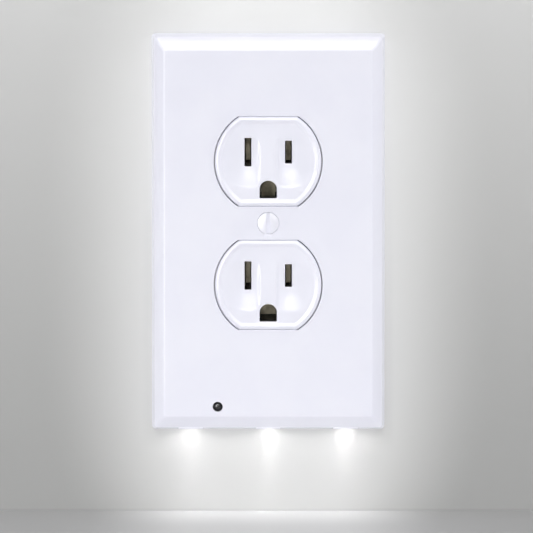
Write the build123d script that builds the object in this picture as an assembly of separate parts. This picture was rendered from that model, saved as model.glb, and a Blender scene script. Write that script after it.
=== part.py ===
"""Duplex wall outlet with a plug-on night light cover plate, in millimetres.

Frame: the wall plane is Y = 0, the room is at -Y and the wall box at +Y. X runs to the right as seen from
the room, Z is up, and the origin is where the cover screw's axis crosses the wall plane.

The receptacle (face, strap, body, contacts, terminal screws) is fixed to the wall box by two screws. The
night light is the cover plate with its circuit board, three lenses and light sensor. Two sprung prongs
reach back beside the receptacle and press on the heads of its lower terminal screws.
"""

import math
import os

from build123d import *

# ---------------------------------------------------------------- cover plate
PLATE_WIDTH = 73.4
PLATE_TOP = 59.3  # above the cover screw
PLATE_BOTTOM = 65.9  # below the cover screw
PLATE_DEPTH = 7.4
RIM_DEPTH = 3.6  # depth of the side wall, from the wall to the bevel
RIM_DRAFT = 0.9  # the side wall leans in by this much
BEVEL_SIDE = 4.0  # the flat front is this much narrower, each side
BEVEL_END = 4.8  # and this much shorter, each end
SHELL_WALL = 1.8
PLATE_EDGE_ROUND = 0.5
OPENING_GAP = 0.3  # round each socket face
SCREW_BOSS_WALL = 0.9  # round the cover screw's head
SCREW_BOSS_GAP = 0.4  # to the socket openings

# ---------------------------------------------------------------- duplex sockets
SOCKET_PITCH = 38.9
SOCKET_RADIUS = 16.75
SOCKET_HALF_HEIGHT = 14.1
SOCKET_PROUD = 0.5  # in front of the cover plate
SOCKET_EDGE_ROUND = 1.1
RECESS_INSET = 1.9
RECESS_SLOPE = 1.2
RECESS_DEPTH = 0.4
RECESS_MOUTH = 0.2  # the cutter starts this far in front
DISH_DEPTH = 0.6
DISH_RADIUS = 9.4  # where the dish meets the recess
DISH_OFFSET = 4.5
RIDGE_HALF_WIDTH = 2.8
BLADE_OFFSET = 6.35
BLADE_RAISE = 2.95  # blade slots' middle above the socket's middle
SLOT_WIDTH = 2.15
NEUTRAL_SLOT_HEIGHT = 9.0
HOT_SLOT_HEIGHT = 7.2
GROUND_DROP = 8.7  # ground hole's arch centre below the socket's middle
GROUND_RADIUS = 2.7
FLANGE_THICKNESS = 1.2
FLANGE_HALF_WIDTH = 16.2
FLANGE_PAST_SOCKET = 16.35  # beyond each socket's middle
FLANGE_CORNER = 3.0

# ---------------------------------------------------------------- strap
STRAP_BACK_GAP = 0.5  # from the wall plane
STRAP_THICKNESS = 1.3
STRAP_HALF_WIDTH = 13.0
STRAP_PAST_BODY = 1.6  # the wide part, beyond each end of the body
WINDOW_SIDE = 1.2  # windows in the strap, beyond the blade slots
WINDOW_END = 0.8
GROUND_WINDOW_SIDE = 1.1  # beyond the ground hole
STRAP_END_HALF_WIDTH = 7.5
STRAP_HALF_LENGTH = 53.2
EAR_RADIUS = 5.8
EAR_OFFSET_X = 9.3
EAR_OFFSET_Z = 47.2
EAR_HOLE_RADIUS = 2.0
COLLAR_RADIUS = 3.0
COLLAR_DEPTH = 1.7
BOX_SCREW_PITCH = 83.34
BOX_SLOT_HALF_WIDTH = 2.1
BOX_SLOT_LENGTH = 7.2
TAB_THICKNESS = 1.25
TAB_DEPTH = 12.0
TAB_HALF_HEIGHT = 4.6
TAB_LAP = 0.5  # onto the strap
GROUND_SCREW_Y = 7.5
GROUND_SCREW_Z = -29.0

# ---------------------------------------------------------------- receptacle body and contacts
BODY_HALF_WIDTH = 16.2
BODY_PAST_FLANGE = 0.2
BODY_DEPTH = 25.0
BODY_CORNER = 2.5
ALCOVE_HALF_WIDTH = 14.0
ALCOVE_HALF_HEIGHT = 17.6
SIDE_WALL = 1.8
POCKET_DEPTH = 17.5
TROUGH_WIDTH = 3.0
BRASS = 0.6
TERMINAL_PLATE = 0.8
TERMINAL_PITCH = 19.8
TERMINAL_HALF_HEIGHT = 16.2
TERMINAL_HALF_DEPTH = 5.0
RAIL_FRONT = 5.0
BREAK_NOTCH_HALF_HEIGHT = 2.2
BREAK_TAB_HALF_DEPTH = 1.6
GROUND_STRIP_GAP = 1.2  # behind the blade contacts
GROUND_LEG_PAST_CLIP = 5.2  # the leg to the strap, above the upper blade clips
CONTACT_FRONT = 3.2  # depth behind the wall where the spring leaves start
CONTACT_BACK = 14.0
BLADE_GAP = 1.6  # between the leaves
LEAF_HALF_HEIGHT = 4.4
LEAF_FLARE = 0.35
LEAF_MOUTH = 1.2  # length of the flare
GROUND_PIN_GAP = 4.9
GROUND_LEAF_HALF_HEIGHT = 3.0
GROUND_STRIP_HALF_WIDTH = 2.2
TERMINAL_Y = 9.0
WIRE_GAP = 1.55  # under each backed-out terminal screw head
BRIDGE_HALF_HEIGHT = 3.2

# ---------------------------------------------------------------- screws and rivets
COVER_SHANK_RADIUS = 1.75
COVER_HEAD_RADIUS = 3.45
COVER_HEAD_DOME = 0.7
COVER_SCREW_REACH = 8.0  # behind the wall plane
COUNTERSINK_HALF_ANGLE = 41.0
TERMINAL_SHANK_RADIUS = 2.05
TERMINAL_HEAD_RADIUS = 4.0
TERMINAL_HEAD_HEIGHT = 2.0
TERMINAL_HEAD_ROUND = 0.6
TERMINAL_TIP_GAP = 0.36  # from the inside of the side wall
BOX_SHANK_RADIUS = 1.75
BOX_NECK_RADIUS = 1.5
BOX_NECK_END = 0.3
BOX_HEAD_RADIUS = 3.5
BOX_HEAD_HEIGHT = 1.9
BOX_SCREW_REACH = 17.0
BOX_HEAD_EDGE = 0.85  # straight part of the head
BOX_POINT = 1.0
BOX_POINT_RADIUS = 1.05
RETAINER_RADIUS = 4.2
RETAINER_THICKNESS = 0.6
SLOT_CUT_WIDTH = 1.2
SLOT_CUT_DEPTH = 0.9
RIVET_RADIUS = 1.3
RIVET_HEAD_RADIUS = 2.4
RIVET_HEAD_HEIGHT = 0.8
RIVET_HEAD_ROUND = 0.4
RIVET_X = 8.5
RIVET_PAST_SOCKET = 11.5  # beyond each socket's middle
RIVET_BITE = 2.4  # into the socket face
CASE_SHANK_RADIUS = 0.9
CASE_HEAD_RADIUS = 1.8
CASE_HEAD_HEIGHT = 0.9
CASE_SCREW_REACH = 3.6
CASE_BOSS_RADIUS = 2.3
CASE_BOSS_SIDE = 1.1  # boss to the cavity's side
CASE_SCREW_BELOW_TOP = 11.3
CASE_SCREW_ABOVE_BOARD = 8.7
CASE_RECESS_HALF = 1.1
CASE_RECESS_HALF_WIDTH = 0.22
CASE_RECESS_DEPTH = 0.5

# ---------------------------------------------------------------- night light
BACK_COVER_THICKNESS = 1.2
BACK_COVER_GAP = 0.3  # from the wall plane
BACK_COVER_CORNER = 2.0
BACK_OPENING_SIDE_GAP = 1.0
BACK_OPENING_END_GAP = 1.0
BOARD_THICKNESS = 1.0
BOARD_BACK = 3.2  # from the wall plane
BOARD_SIDE = 3.0  # to the cavity's side
BOARD_HEIGHT = 7.6
BOARD_POST_RADIUS = 1.2
BOARD_PIN_RADIUS = 0.7
BOARD_POST_X = 12.2
LED_FROM_SIDE = 12.3  # outer lamps, from the plate's side
LED_WIDTH = 3.6
LED_HEIGHT = 2.1
LED_THICKNESS = 1.5
LED_WALL = 0.5  # beside the phosphor
LED_FLOOR = 0.33  # in front of the phosphor
LED_ROOF = 0.3  # behind it
LED_WINDOW_DEPTH = 0.4
PHOSPHOR_SUNK = 0.05
CHIP_LEAD = 0.25
CHIP_LEAD_REACH = 0.45
PARTS_BELOW_EDGE = 2.9  # the row of parts, from the board's upper edge
BRIDGE_X = 16.6
BRIDGE_SIZE = (4.6, 3.6, 1.4)
DRIVER_X = 5.6
DRIVER_SIZE = (4.9, 3.4, 1.35)
CAPACITOR_X = -7.0
CAPACITOR_SIZE = (4.8, 3.2, 1.4)
CAPACITOR_CHAMFER = 0.3
RESISTOR_XS = (-20.4, -17.6, 9.8, 20.9)
RESISTOR_SIZE = (1.6, 3.2, 0.6)
LENS_HALF_WIDTH = 3.8
LENS_HALF_THICKNESS = 1.2
LENS_MIDDLE_Y = 2.1  # from the wall plane
LENS_FLANGE = 0.6
LENS_CROWN = 0.72
LENS_RECESS = 0.1  # from the rim's face at the lens's middle
SENSOR_FROM_SIDE = 20.8
SENSOR_ABOVE_EDGE = 4.33  # above the board's lower edge
SENSOR_RADIUS = 1.45
SENSOR_HOLE_GAP = 0.12
SENSOR_SUNK = 0.35
SENSOR_DOME = 0.8
SENSOR_BASE_RADIUS = 1.85
SENSOR_BASE_HEIGHT = 0.6

# ---------------------------------------------------------------- prongs
ARM_THICKNESS = 2.6
ARM_HALF_HEIGHT = 5.0
ARM_REACH = 22.0
ARM_LEAD_IN = 0.78
HINGE_Y = -3.0
PIN_RADIUS = 0.8
PIN_LENGTH = 1.4
PRONG_BRASS = 0.4
PRONG_BRASS_HALF_HEIGHT = 3.4
BUMP_RADIUS = 2.2
BUMP_HEIGHT = 0.35
PRESS_GAP = 0.1  # bump to screw head
POST_THICKNESS = 1.6
POST_SIDE = 0.3  # post beyond the barrel
CONDUCTOR_WIDTH = 2.8
CONDUCTOR_THICKNESS = 0.4
CONDUCTOR_OVERLAP = 3.2  # onto the board
FLEX_ROOM = 3.0  # beside each arm, for its outward flex
RIB_THICKNESS = 1.0
RIB_COUNT = 3

# ---------------------------------------------------------------- fits
SEAT = 0.02  # faces that meet
RUNNING = 0.05  # screws and pins in their holes
CLEAR = 0.25  # loose parts inside the cover
POCKET_CLEAR = 0.3  # contacts in the body
PAST = 1.0  # how far a cut runs past a face

# ---------------------------------------------------------------- derived levels along Y
PLATE_FRONT = -PLATE_DEPTH
CAVITY_FRONT = PLATE_FRONT + SHELL_WALL
STRAP_BACK = -STRAP_BACK_GAP
STRAP_FRONT = STRAP_BACK - STRAP_THICKNESS
FLANGE_FRONT = STRAP_FRONT - FLANGE_THICKNESS
SOCKET_FRONT = PLATE_FRONT - SOCKET_PROUD
BODY_BACK = STRAP_BACK + BODY_DEPTH
BACK_COVER_BACK = -BACK_COVER_GAP
BACK_COVER_FRONT = BACK_COVER_BACK - BACK_COVER_THICKNESS
BOARD_FRONT = -BOARD_BACK - BOARD_THICKNESS
POCKET_FLOOR = STRAP_BACK + POCKET_DEPTH

# ---------------------------------------------------------------- derived places across X and Z
SOCKET_ZS = (SOCKET_PITCH / 2, -SOCKET_PITCH / 2)
TERMINAL_ZS = (TERMINAL_PITCH / 2, -TERMINAL_PITCH / 2)
BOX_SCREW_ZS = (BOX_SCREW_PITCH / 2, -BOX_SCREW_PITCH / 2)
LED_PITCH = PLATE_WIDTH / 2 - LED_FROM_SIDE
LED_XS = (-LED_PITCH, 0.0, LED_PITCH)
SENSOR_X = SENSOR_FROM_SIDE - PLATE_WIDTH / 2
FLANGE_HALF_HEIGHT = SOCKET_PITCH / 2 + FLANGE_PAST_SOCKET
BODY_HALF_HEIGHT = FLANGE_HALF_HEIGHT + BODY_PAST_FLANGE
STRAP_WIDE_HALF_HEIGHT = BODY_HALF_HEIGHT + STRAP_PAST_BODY
RIVET_Z = SOCKET_PITCH / 2 + RIVET_PAST_SOCKET
PLATE_SILL_Y = -(LENS_MIDDLE_Y + LENS_HALF_THICKNESS)
TERMINAL_OUTER = ALCOVE_HALF_WIDTH + RUNNING + TERMINAL_PLATE
HEAD_INNER = TERMINAL_OUTER + WIRE_GAP
HEAD_OUTER = HEAD_INNER + TERMINAL_HEAD_HEIGHT
BUMP_TIP = HEAD_OUTER + PRESS_GAP
STRIP_INNER = BUMP_TIP + BUMP_HEIGHT
ARM_INNER = STRIP_INNER + PRONG_BRASS + SEAT
ARM_OUTER = ARM_INNER + ARM_THICKNESS
BARREL_RADIUS = ARM_THICKNESS / 2
HINGE_X = ARM_INNER + BARREL_RADIUS
WRAP_RADIUS = BARREL_RADIUS + SEAT + PRONG_BRASS
PRONG_Z = TERMINAL_ZS[1]
CONDUCTOR_INNER = HINGE_X + WRAP_RADIUS + RUNNING
CONDUCTOR_OUTER = CONDUCTOR_INNER + CONDUCTOR_WIDTH
BACK_OPENING_HALF_WIDTH = FLANGE_HALF_WIDTH + BACK_OPENING_SIDE_GAP
BACK_OPENING_HALF_HEIGHT = STRAP_HALF_LENGTH + BACK_OPENING_END_GAP


# ---------------------------------------------------------------- helpers
def front_plane(y):
    """A plane across the wall at y: its x is X, its y is Z and it faces the room."""
    return Plane(origin=(0, y, 0), x_dir=(1, 0, 0), z_dir=(0, -1, 0))


def block(x0, x1, y0, y1, z0, z1):
    """A box between two corners, given in any order."""
    size = (abs(x1 - x0), abs(y1 - y0), abs(z1 - z0))
    middle = ((x0 + x1) / 2, (y0 + y1) / 2, (z0 + z1) / 2)
    return Pos(*middle) * Box(*size)


def slab(sketch, back, front):
    """A sketch in X and Z, extruded from y = back to y = front."""
    return extrude(front_plane(back) * sketch, amount=back - front)


def rod_x(radius, x0, x1, y, z):
    return Pos((x0 + x1) / 2, y, z) * Rot(0, 90, 0) * Cylinder(radius, abs(x1 - x0))


def rod_y(radius, y0, y1, x=0.0, z=0.0):
    return Pos(x, (y0 + y1) / 2, z) * Rot(90, 0, 0) * Cylinder(radius, abs(y1 - y0))


def rod_z(radius, z0, z1, x, y):
    return Pos(x, y, (z0 + z1) / 2) * Cylinder(radius, abs(z1 - z0))


def cone_y(radius_back, radius_front, y_back, y_front, x=0.0, z=0.0):
    """A cone along Y, with its radius at the back and at the front."""
    height = y_back - y_front
    turned = Rot(90, 0, 0) * Cone(radius_back, radius_front, height)
    return Pos(x, (y_back + y_front) / 2, z) * turned


def rounded(half_width, z_low, z_high, radius):
    """A rectangle in X and Z with rounded corners, centred on X = 0."""
    size = (2 * half_width, z_high - z_low)
    return Pos(0, (z_low + z_high) / 2) * RectangleRounded(*size, radius)


def mirrored(shape):
    """The same shape on the other side of X = 0."""
    return mirror(shape, about=Plane.YZ)


def solids_of(shape):
    """One solid for a shape that a boolean left in a compound of one."""
    solids = shape.solids()
    return solids[0] if len(solids) == 1 else Compound(children=list(solids))


# ---------------------------------------------------------------- cover plate
def plate_inset(y, side):
    """How far the plate's outside has come in from its outline at depth y, on the sides or the ends."""
    inset = BEVEL_SIDE if side else BEVEL_END
    depth = -y
    if depth <= RIM_DEPTH:
        return RIM_DRAFT * depth / RIM_DEPTH
    share = (depth - RIM_DEPTH) / (PLATE_DEPTH - RIM_DEPTH)
    return RIM_DRAFT + (inset - RIM_DRAFT) * share


def plate_section(y, wall):
    """The plate's outline at depth y, brought in by a wall thickness."""
    inset_x = plate_inset(y, True) + wall
    inset_z = plate_inset(y, False) + wall
    width = PLATE_WIDTH - 2 * inset_x
    height = PLATE_TOP + PLATE_BOTTOM - 2 * inset_z
    middle = (PLATE_TOP - PLATE_BOTTOM) / 2
    return front_plane(y) * Pos(0, middle) * Rectangle(width, height)


def plate_solid(front, wall):
    """The plate's outside, or its cavity, from the wall plane to the given front level."""
    rim = loft([plate_section(0, wall), plate_section(-RIM_DEPTH, wall)], ruled=True)
    bevel = loft([plate_section(-RIM_DEPTH, wall), plate_section(front, wall)], ruled=True)
    return rim + bevel


def cavity_half_width(y):
    return PLATE_WIDTH / 2 - plate_inset(y, True) - SHELL_WALL


def cavity_bottom(y):
    return -PLATE_BOTTOM + plate_inset(y, False) + SHELL_WALL


def cavity_top(y):
    return PLATE_TOP - plate_inset(y, False) - SHELL_WALL


def socket_outline(gap):
    """A circle with a flat top and bottom, grown by gap."""
    radius = SOCKET_RADIUS + gap
    half_height = SOCKET_HALF_HEIGHT + gap
    return Circle(radius) & Rectangle(2 * radius, 2 * half_height)


def lens_floor():
    """The level of the cavity's sill at the lenses."""
    return cavity_bottom(PLATE_SILL_Y)


def board_bottom():
    return cavity_bottom(BOARD_FRONT) + CLEAR


def board_top():
    return board_bottom() + BOARD_HEIGHT


def case_screw_places():
    side = cavity_half_width(CAVITY_FRONT) - CASE_BOSS_SIDE - CASE_BOSS_RADIUS
    upper = PLATE_TOP - CASE_SCREW_BELOW_TOP
    lower = board_top() + CASE_SCREW_ABOVE_BOARD
    return [(x, z) for x in (-side, side) for z in (upper, lower)]


def sensor_z():
    return board_bottom() + SENSOR_ABOVE_EDGE


def board_post_places():
    middle = (board_bottom() + board_top()) / 2
    return [(x, middle) for x in (-BOARD_POST_X, BOARD_POST_X)]


def head_cone_depth(radius):
    """Length of the countersunk cone from a head radius down to the cover screw's shank."""
    return (radius - COVER_SHANK_RADIUS) / math.tan(math.radians(COUNTERSINK_HALF_ANGLE))


def post_levels():
    """Low and high levels of the two posts beside each prong's arm."""
    inner = ARM_HALF_HEIGHT + RUNNING
    outer = inner + POST_THICKNESS
    return [(PRONG_Z + inner, PRONG_Z + outer), (PRONG_Z - outer, PRONG_Z - inner)]


def prong_posts():
    """Two posts on the plate's inside, with slots that take the right prong's pins from the back."""
    back = BACK_COVER_FRONT - SEAT
    x0 = HINGE_X - BARREL_RADIUS - POST_SIDE
    x1 = HINGE_X + BARREL_RADIUS + POST_SIDE
    half = PIN_RADIUS + RUNNING
    posts = Part()
    for low, high in post_levels():
        posts += block(x0, x1, CAVITY_FRONT, back, low, high)
        posts -= rod_z(half, low, high, HINGE_X, HINGE_Y)
        posts -= block(HINGE_X - half, HINGE_X + half, HINGE_Y, back + PAST, low, high)
    return posts


def conductor_ribs():
    """Ribs on the plate's inside that the right conductor lies on, evenly between posts and board."""
    high = post_levels()[1][0]
    low = board_top()
    ribs = Part()
    for i in range(RIB_COUNT):
        z = low + (high - low) * (i + 1) / (RIB_COUNT + 1)
        ribs += block(CONDUCTOR_INNER, CONDUCTOR_OUTER, CAVITY_FRONT, -BOARD_BACK,
                      z - RIB_THICKNESS / 2, z + RIB_THICKNESS / 2)
    return ribs


def screw_boss_radius():
    """The boss fits between the two socket openings' flats."""
    room = SOCKET_PITCH / 2 - SOCKET_HALF_HEIGHT - OPENING_GAP - SCREW_BOSS_GAP
    return min(COVER_HEAD_RADIUS + SCREW_BOSS_WALL, room)


def make_cover_plate():
    outside = plate_solid(PLATE_FRONT, 0)
    outside = fillet(outside.edges().filter_by(lambda e: e.center().Y < -0.1), PLATE_EDGE_ROUND)
    plate = outside - plate_solid(CAVITY_FRONT, SHELL_WALL)

    # standing features on the inside of the front
    plate += rod_y(screw_boss_radius(), STRAP_FRONT - SEAT, CAVITY_FRONT)
    for x, z in case_screw_places():
        plate += rod_y(CASE_BOSS_RADIUS, BACK_COVER_FRONT - SEAT, CAVITY_FRONT, x, z)
    for x, z in board_post_places():
        plate += rod_y(BOARD_POST_RADIUS, BOARD_FRONT - SEAT, CAVITY_FRONT, x, z)
        plate += rod_y(BOARD_PIN_RADIUS, -BOARD_BACK + SEAT, BOARD_FRONT - SEAT, x, z)
    carriers = prong_posts() + conductor_ribs()
    plate += carriers
    plate += mirrored(carriers)

    # openings
    for z in SOCKET_ZS:
        plate -= slab(Pos(0, z) * socket_outline(OPENING_GAP), CAVITY_FRONT + PAST, PLATE_FRONT - PAST)
    plate -= rod_y(COVER_SHANK_RADIUS + CLEAR, 0, PLATE_FRONT - PAST)
    sunk = COVER_HEAD_RADIUS + CLEAR / 2
    plate -= cone_y(COVER_SHANK_RADIUS, sunk, PLATE_FRONT + head_cone_depth(sunk), PLATE_FRONT)
    for x, z in case_screw_places():
        bite = BACK_COVER_BACK - CASE_SCREW_REACH - CLEAR
        plate -= rod_y(CASE_SHANK_RADIUS + RUNNING, 0, bite, x, z)
    hole = SENSOR_RADIUS + SENSOR_HOLE_GAP
    plate -= rod_y(hole, CAVITY_FRONT + PAST, PLATE_FRONT - PAST, SENSOR_X, sensor_z())
    for x in LED_XS:
        half = LENS_HALF_WIDTH + RUNNING
        thick = LENS_HALF_THICKNESS + RUNNING
        plate -= block(x - half, x + half, -LENS_MIDDLE_Y - thick, -LENS_MIDDLE_Y + thick,
                       -PLATE_BOTTOM - PAST, lens_floor() + PAST)
    return solids_of(plate)


# ---------------------------------------------------------------- back cover
def pin_keepers():
    """Pads on the back cover that close the slots over the right prong's pins."""
    front = HINGE_Y + PIN_RADIUS + RUNNING
    pads = Part()
    for low, high in post_levels():
        pads += block(HINGE_X - PIN_RADIUS, HINGE_X + PIN_RADIUS, BACK_COVER_FRONT, front, low, high)
    return pads


def make_back_cover():
    front = BACK_COVER_FRONT
    half_width = cavity_half_width(front) - CLEAR
    low = cavity_bottom(front) + CLEAR
    high = cavity_top(front) - CLEAR
    cover = slab(rounded(half_width, low, high, BACK_COVER_CORNER), BACK_COVER_BACK, front)
    opening = rounded(BACK_OPENING_HALF_WIDTH, -BACK_OPENING_HALF_HEIGHT, BACK_OPENING_HALF_HEIGHT,
                      BACK_COVER_CORNER)
    cover -= slab(opening, PAST, front - PAST)
    notch_half = ARM_HALF_HEIGHT + CLEAR
    notch = block(0, ARM_OUTER + FLEX_ROOM, PAST, front - PAST, PRONG_Z - notch_half, PRONG_Z + notch_half)
    cover -= notch
    cover -= mirrored(notch)
    cover += pin_keepers()
    cover += mirrored(pin_keepers())
    for x in LED_XS:
        half = LENS_HALF_WIDTH + LENS_FLANGE + CLEAR
        cover -= block(x - half, x + half, PAST, front - PAST, low - PAST, led_bottom())
    for x, z in case_screw_places():
        cover -= rod_y(CASE_SHANK_RADIUS + RUNNING, PAST, front - PAST, x, z)
        sunk = CASE_HEAD_RADIUS + RUNNING
        cover -= cone_y(sunk, CASE_SHANK_RADIUS + RUNNING, BACK_COVER_BACK,
                        BACK_COVER_BACK - CASE_HEAD_HEIGHT - RUNNING, x, z)
    return solids_of(cover)


def make_case_screws():
    """Four countersunk screws that hold the back cover, seen from the back."""
    screws = []
    top = BACK_COVER_BACK - RUNNING
    for x, z in case_screw_places():
        head = cone_y(CASE_HEAD_RADIUS, CASE_SHANK_RADIUS, top, top - CASE_HEAD_HEIGHT, x, z)
        shank = rod_y(CASE_SHANK_RADIUS, top - CASE_HEAD_HEIGHT, BACK_COVER_BACK - CASE_SCREW_REACH, x, z)
        screw = head + shank
        half = CASE_RECESS_HALF
        width = CASE_RECESS_HALF_WIDTH
        floor = top - CASE_RECESS_DEPTH
        screw -= block(x - half, x + half, top + PAST, floor, z - width, z + width)
        screw -= block(x - width, x + width, top + PAST, floor, z - half, z + half)
        screws.append(solids_of(screw))
    return Compound(children=screws)


# ---------------------------------------------------------------- circuit board and what is on it
def make_circuit_board():
    half = cavity_half_width(BOARD_FRONT) - BOARD_SIDE
    board = block(-half, half, -BOARD_BACK, BOARD_FRONT, board_bottom(), board_top())
    for x, z in board_post_places():
        board -= rod_y(BOARD_PIN_RADIUS + RUNNING, 0, BOARD_FRONT - PAST, x, z)
    return solids_of(board)


def led_bottom():
    return lens_floor() + LENS_FLANGE + CLEAR


def led_window(x, gap, low):
    """The pocket for the phosphor in the package at x, brought in by a gap, from the given level."""
    half = LED_WIDTH / 2 - LED_WALL - gap
    front = -BOARD_BACK + SEAT + LED_FLOOR + gap
    back = -BOARD_BACK + LED_THICKNESS - LED_ROOF - gap
    return block(x - half, x + half, front, back, low, led_bottom() + LED_WINDOW_DEPTH - gap)


def make_led_packages():
    """Three side-view packages whose bottom face gives the light."""
    packages = []
    back = -BOARD_BACK + LED_THICKNESS
    for x in LED_XS:
        half = LED_WIDTH / 2
        package = block(x - half, x + half, -BOARD_BACK + SEAT, back, led_bottom(), led_bottom() + LED_HEIGHT)
        packages.append(solids_of(package - led_window(x, 0, led_bottom() - PAST)))
    return Compound(children=packages)


def make_led_phosphors():
    """The phosphor fill in each package's window."""
    return Compound(children=[led_window(x, SEAT, led_bottom() + PHOSPHOR_SUNK) for x in LED_XS])


def make_lens(x):
    """A clear lens in the sill: a flange inside, a block through the wall and a crowned outer face."""
    low = -PLATE_BOTTOM + plate_inset(-LENS_MIDDLE_Y, False) + LENS_RECESS
    floor = lens_floor()
    half = LENS_HALF_WIDTH
    y0 = -LENS_MIDDLE_Y - LENS_HALF_THICKNESS
    y1 = -LENS_MIDDLE_Y + LENS_HALF_THICKNESS
    crown = low + LENS_CROWN
    lens = block(x - half, x + half, y0, y1, crown, floor + SEAT)
    lens += block(x - half - LENS_FLANGE, x + half + LENS_FLANGE, y0 + SEAT, y1, floor + SEAT,
                  floor + SEAT + LENS_FLANGE)
    lower_half = Pos(0, -LENS_CROWN) * Rectangle(2 * LENS_HALF_THICKNESS, 2 * LENS_CROWN)
    profile = Pos(-LENS_MIDDLE_Y, crown) * (Ellipse(LENS_HALF_THICKNESS, LENS_CROWN) & lower_half)
    lens += Pos(x - half, 0, 0) * extrude(Plane.YZ * profile, amount=2 * half)
    return solids_of(lens)


def make_light_sensor():
    """A dark round sensor with a domed tip, standing in the plate's small hole."""
    seat = BOARD_FRONT - SEAT
    shoulder = PLATE_FRONT + SENSOR_SUNK + SENSOR_DOME
    sensor = rod_y(SENSOR_RADIUS, seat, shoulder, SENSOR_X, sensor_z())
    sensor += rod_y(SENSOR_BASE_RADIUS, seat, seat - SENSOR_BASE_HEIGHT, SENSOR_X, sensor_z())
    return solids_of(sensor + dome_y(SENSOR_RADIUS, shoulder, SENSOR_DOME, SENSOR_X, sensor_z()))


def board_block(x, size, lift=0.0):
    """A block of width, height and thickness on the board's back, in the row of parts above the lamps."""
    width, height, thickness = size
    z = board_top() - PARTS_BELOW_EDGE
    seat = -BOARD_BACK + SEAT
    return block(x - width / 2, x + width / 2, seat + lift, seat + thickness, z - height / 2, z + height / 2)


def chip(x, size, leads, lead_width):
    """A package with flat leads along its two long sides."""
    width, height, thickness = size
    body = board_block(x, size, lift=CHIP_LEAD)
    for i in range(leads):
        at = x + width * ((i + 0.5) / leads - 0.5)
        body += board_block(at, (lead_width, height + 2 * CHIP_LEAD_REACH, CHIP_LEAD))
    return solids_of(body)


def make_bridge_rectifier():
    return chip(BRIDGE_X, BRIDGE_SIZE, leads=2, lead_width=0.8)


def make_driver_chip():
    return chip(DRIVER_X, DRIVER_SIZE, leads=4, lead_width=0.4)


def make_smoothing_capacitor():
    body = board_block(CAPACITOR_X, CAPACITOR_SIZE)
    return solids_of(chamfer(body.edges().filter_by(Axis.Y), CAPACITOR_CHAMFER))


def make_chip_resistors():
    return Compound(children=[board_block(x, RESISTOR_SIZE) for x in RESISTOR_XS])


# ---------------------------------------------------------------- prongs and conductors
def make_right_conductor():
    back = -BOARD_BACK + SEAT + CONDUCTOR_THICKNESS
    top = PRONG_Z + CONDUCTOR_WIDTH / 2
    return solids_of(block(CONDUCTOR_INNER, CONDUCTOR_OUTER, -BOARD_BACK + SEAT, back,
                           board_top() - CONDUCTOR_OVERLAP, top))


def make_right_arm():
    """A moulded arm with a barrel and two pins at its root and a lead-in at its tip."""
    low = PRONG_Z - ARM_HALF_HEIGHT
    high = PRONG_Z + ARM_HALF_HEIGHT
    arm = block(ARM_INNER, ARM_OUTER, HINGE_Y, ARM_REACH, low, high)
    tips = arm.edges().filter_by(Axis.Z).group_by(Axis.Y)[-1]
    arm = chamfer(tips, ARM_LEAD_IN)
    arm += rod_z(BARREL_RADIUS, low, high, HINGE_X, HINGE_Y)
    arm += rod_z(PIN_RADIUS, low - PIN_LENGTH, high + PIN_LENGTH, HINGE_X, HINGE_Y)
    return solids_of(arm)


def make_right_prong_contact():
    """A brass strip along the arm's inner face, bent round the barrel, with a bump for the screw head."""
    low = PRONG_Z - PRONG_BRASS_HALF_HEIGHT
    high = PRONG_Z + PRONG_BRASS_HALF_HEIGHT
    tip = ARM_REACH - ARM_LEAD_IN - CLEAR
    strip = block(STRIP_INNER, STRIP_INNER + PRONG_BRASS, HINGE_Y, tip, low, high)
    wrap = rod_z(WRAP_RADIUS, low, high, HINGE_X, HINGE_Y)
    wrap -= rod_z(BARREL_RADIUS + SEAT, low - PAST, high + PAST, HINGE_X, HINGE_Y)
    wrap &= block(HINGE_X - WRAP_RADIUS, HINGE_X + WRAP_RADIUS, HINGE_Y - WRAP_RADIUS, HINGE_Y, low, high)
    ball = (BUMP_RADIUS**2 + BUMP_HEIGHT**2) / (2 * BUMP_HEIGHT)
    bump = Pos(BUMP_TIP + ball, TERMINAL_Y, PRONG_Z) * Sphere(ball)
    bump &= rod_x(BUMP_RADIUS, BUMP_TIP - PAST, STRIP_INNER + PRONG_BRASS, TERMINAL_Y, PRONG_Z)
    return solids_of(strip + wrap + bump)


# ---------------------------------------------------------------- screws
def driver_slot(radius, y_top, z=0.0):
    """A vertical slot cut into a head that faces the room at y_top."""
    half = SLOT_CUT_WIDTH / 2
    reach = radius + PAST
    return block(-half, half, y_top - PAST, y_top + SLOT_CUT_DEPTH, z - reach, z + reach)


def dome_y(radius, y_base, height, x=0.0, z=0.0):
    """A dome that rises towards the room from y_base."""
    ball = (radius**2 + height**2) / (2 * height)
    cap = Pos(x, y_base - height + ball, z) * Sphere(ball)
    return cap & rod_y(radius, y_base, y_base - height - PAST, x, z)


def make_cover_screw():
    depth = head_cone_depth(COVER_HEAD_RADIUS)
    screw = cone_y(COVER_SHANK_RADIUS, COVER_HEAD_RADIUS, PLATE_FRONT + depth, PLATE_FRONT)
    screw += rod_y(COVER_SHANK_RADIUS, COVER_SCREW_REACH, PLATE_FRONT + depth)
    screw += dome_y(COVER_HEAD_RADIUS, PLATE_FRONT, COVER_HEAD_DOME)
    screw -= driver_slot(COVER_HEAD_RADIUS, PLATE_FRONT - COVER_HEAD_DOME)
    return solids_of(screw)


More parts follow.
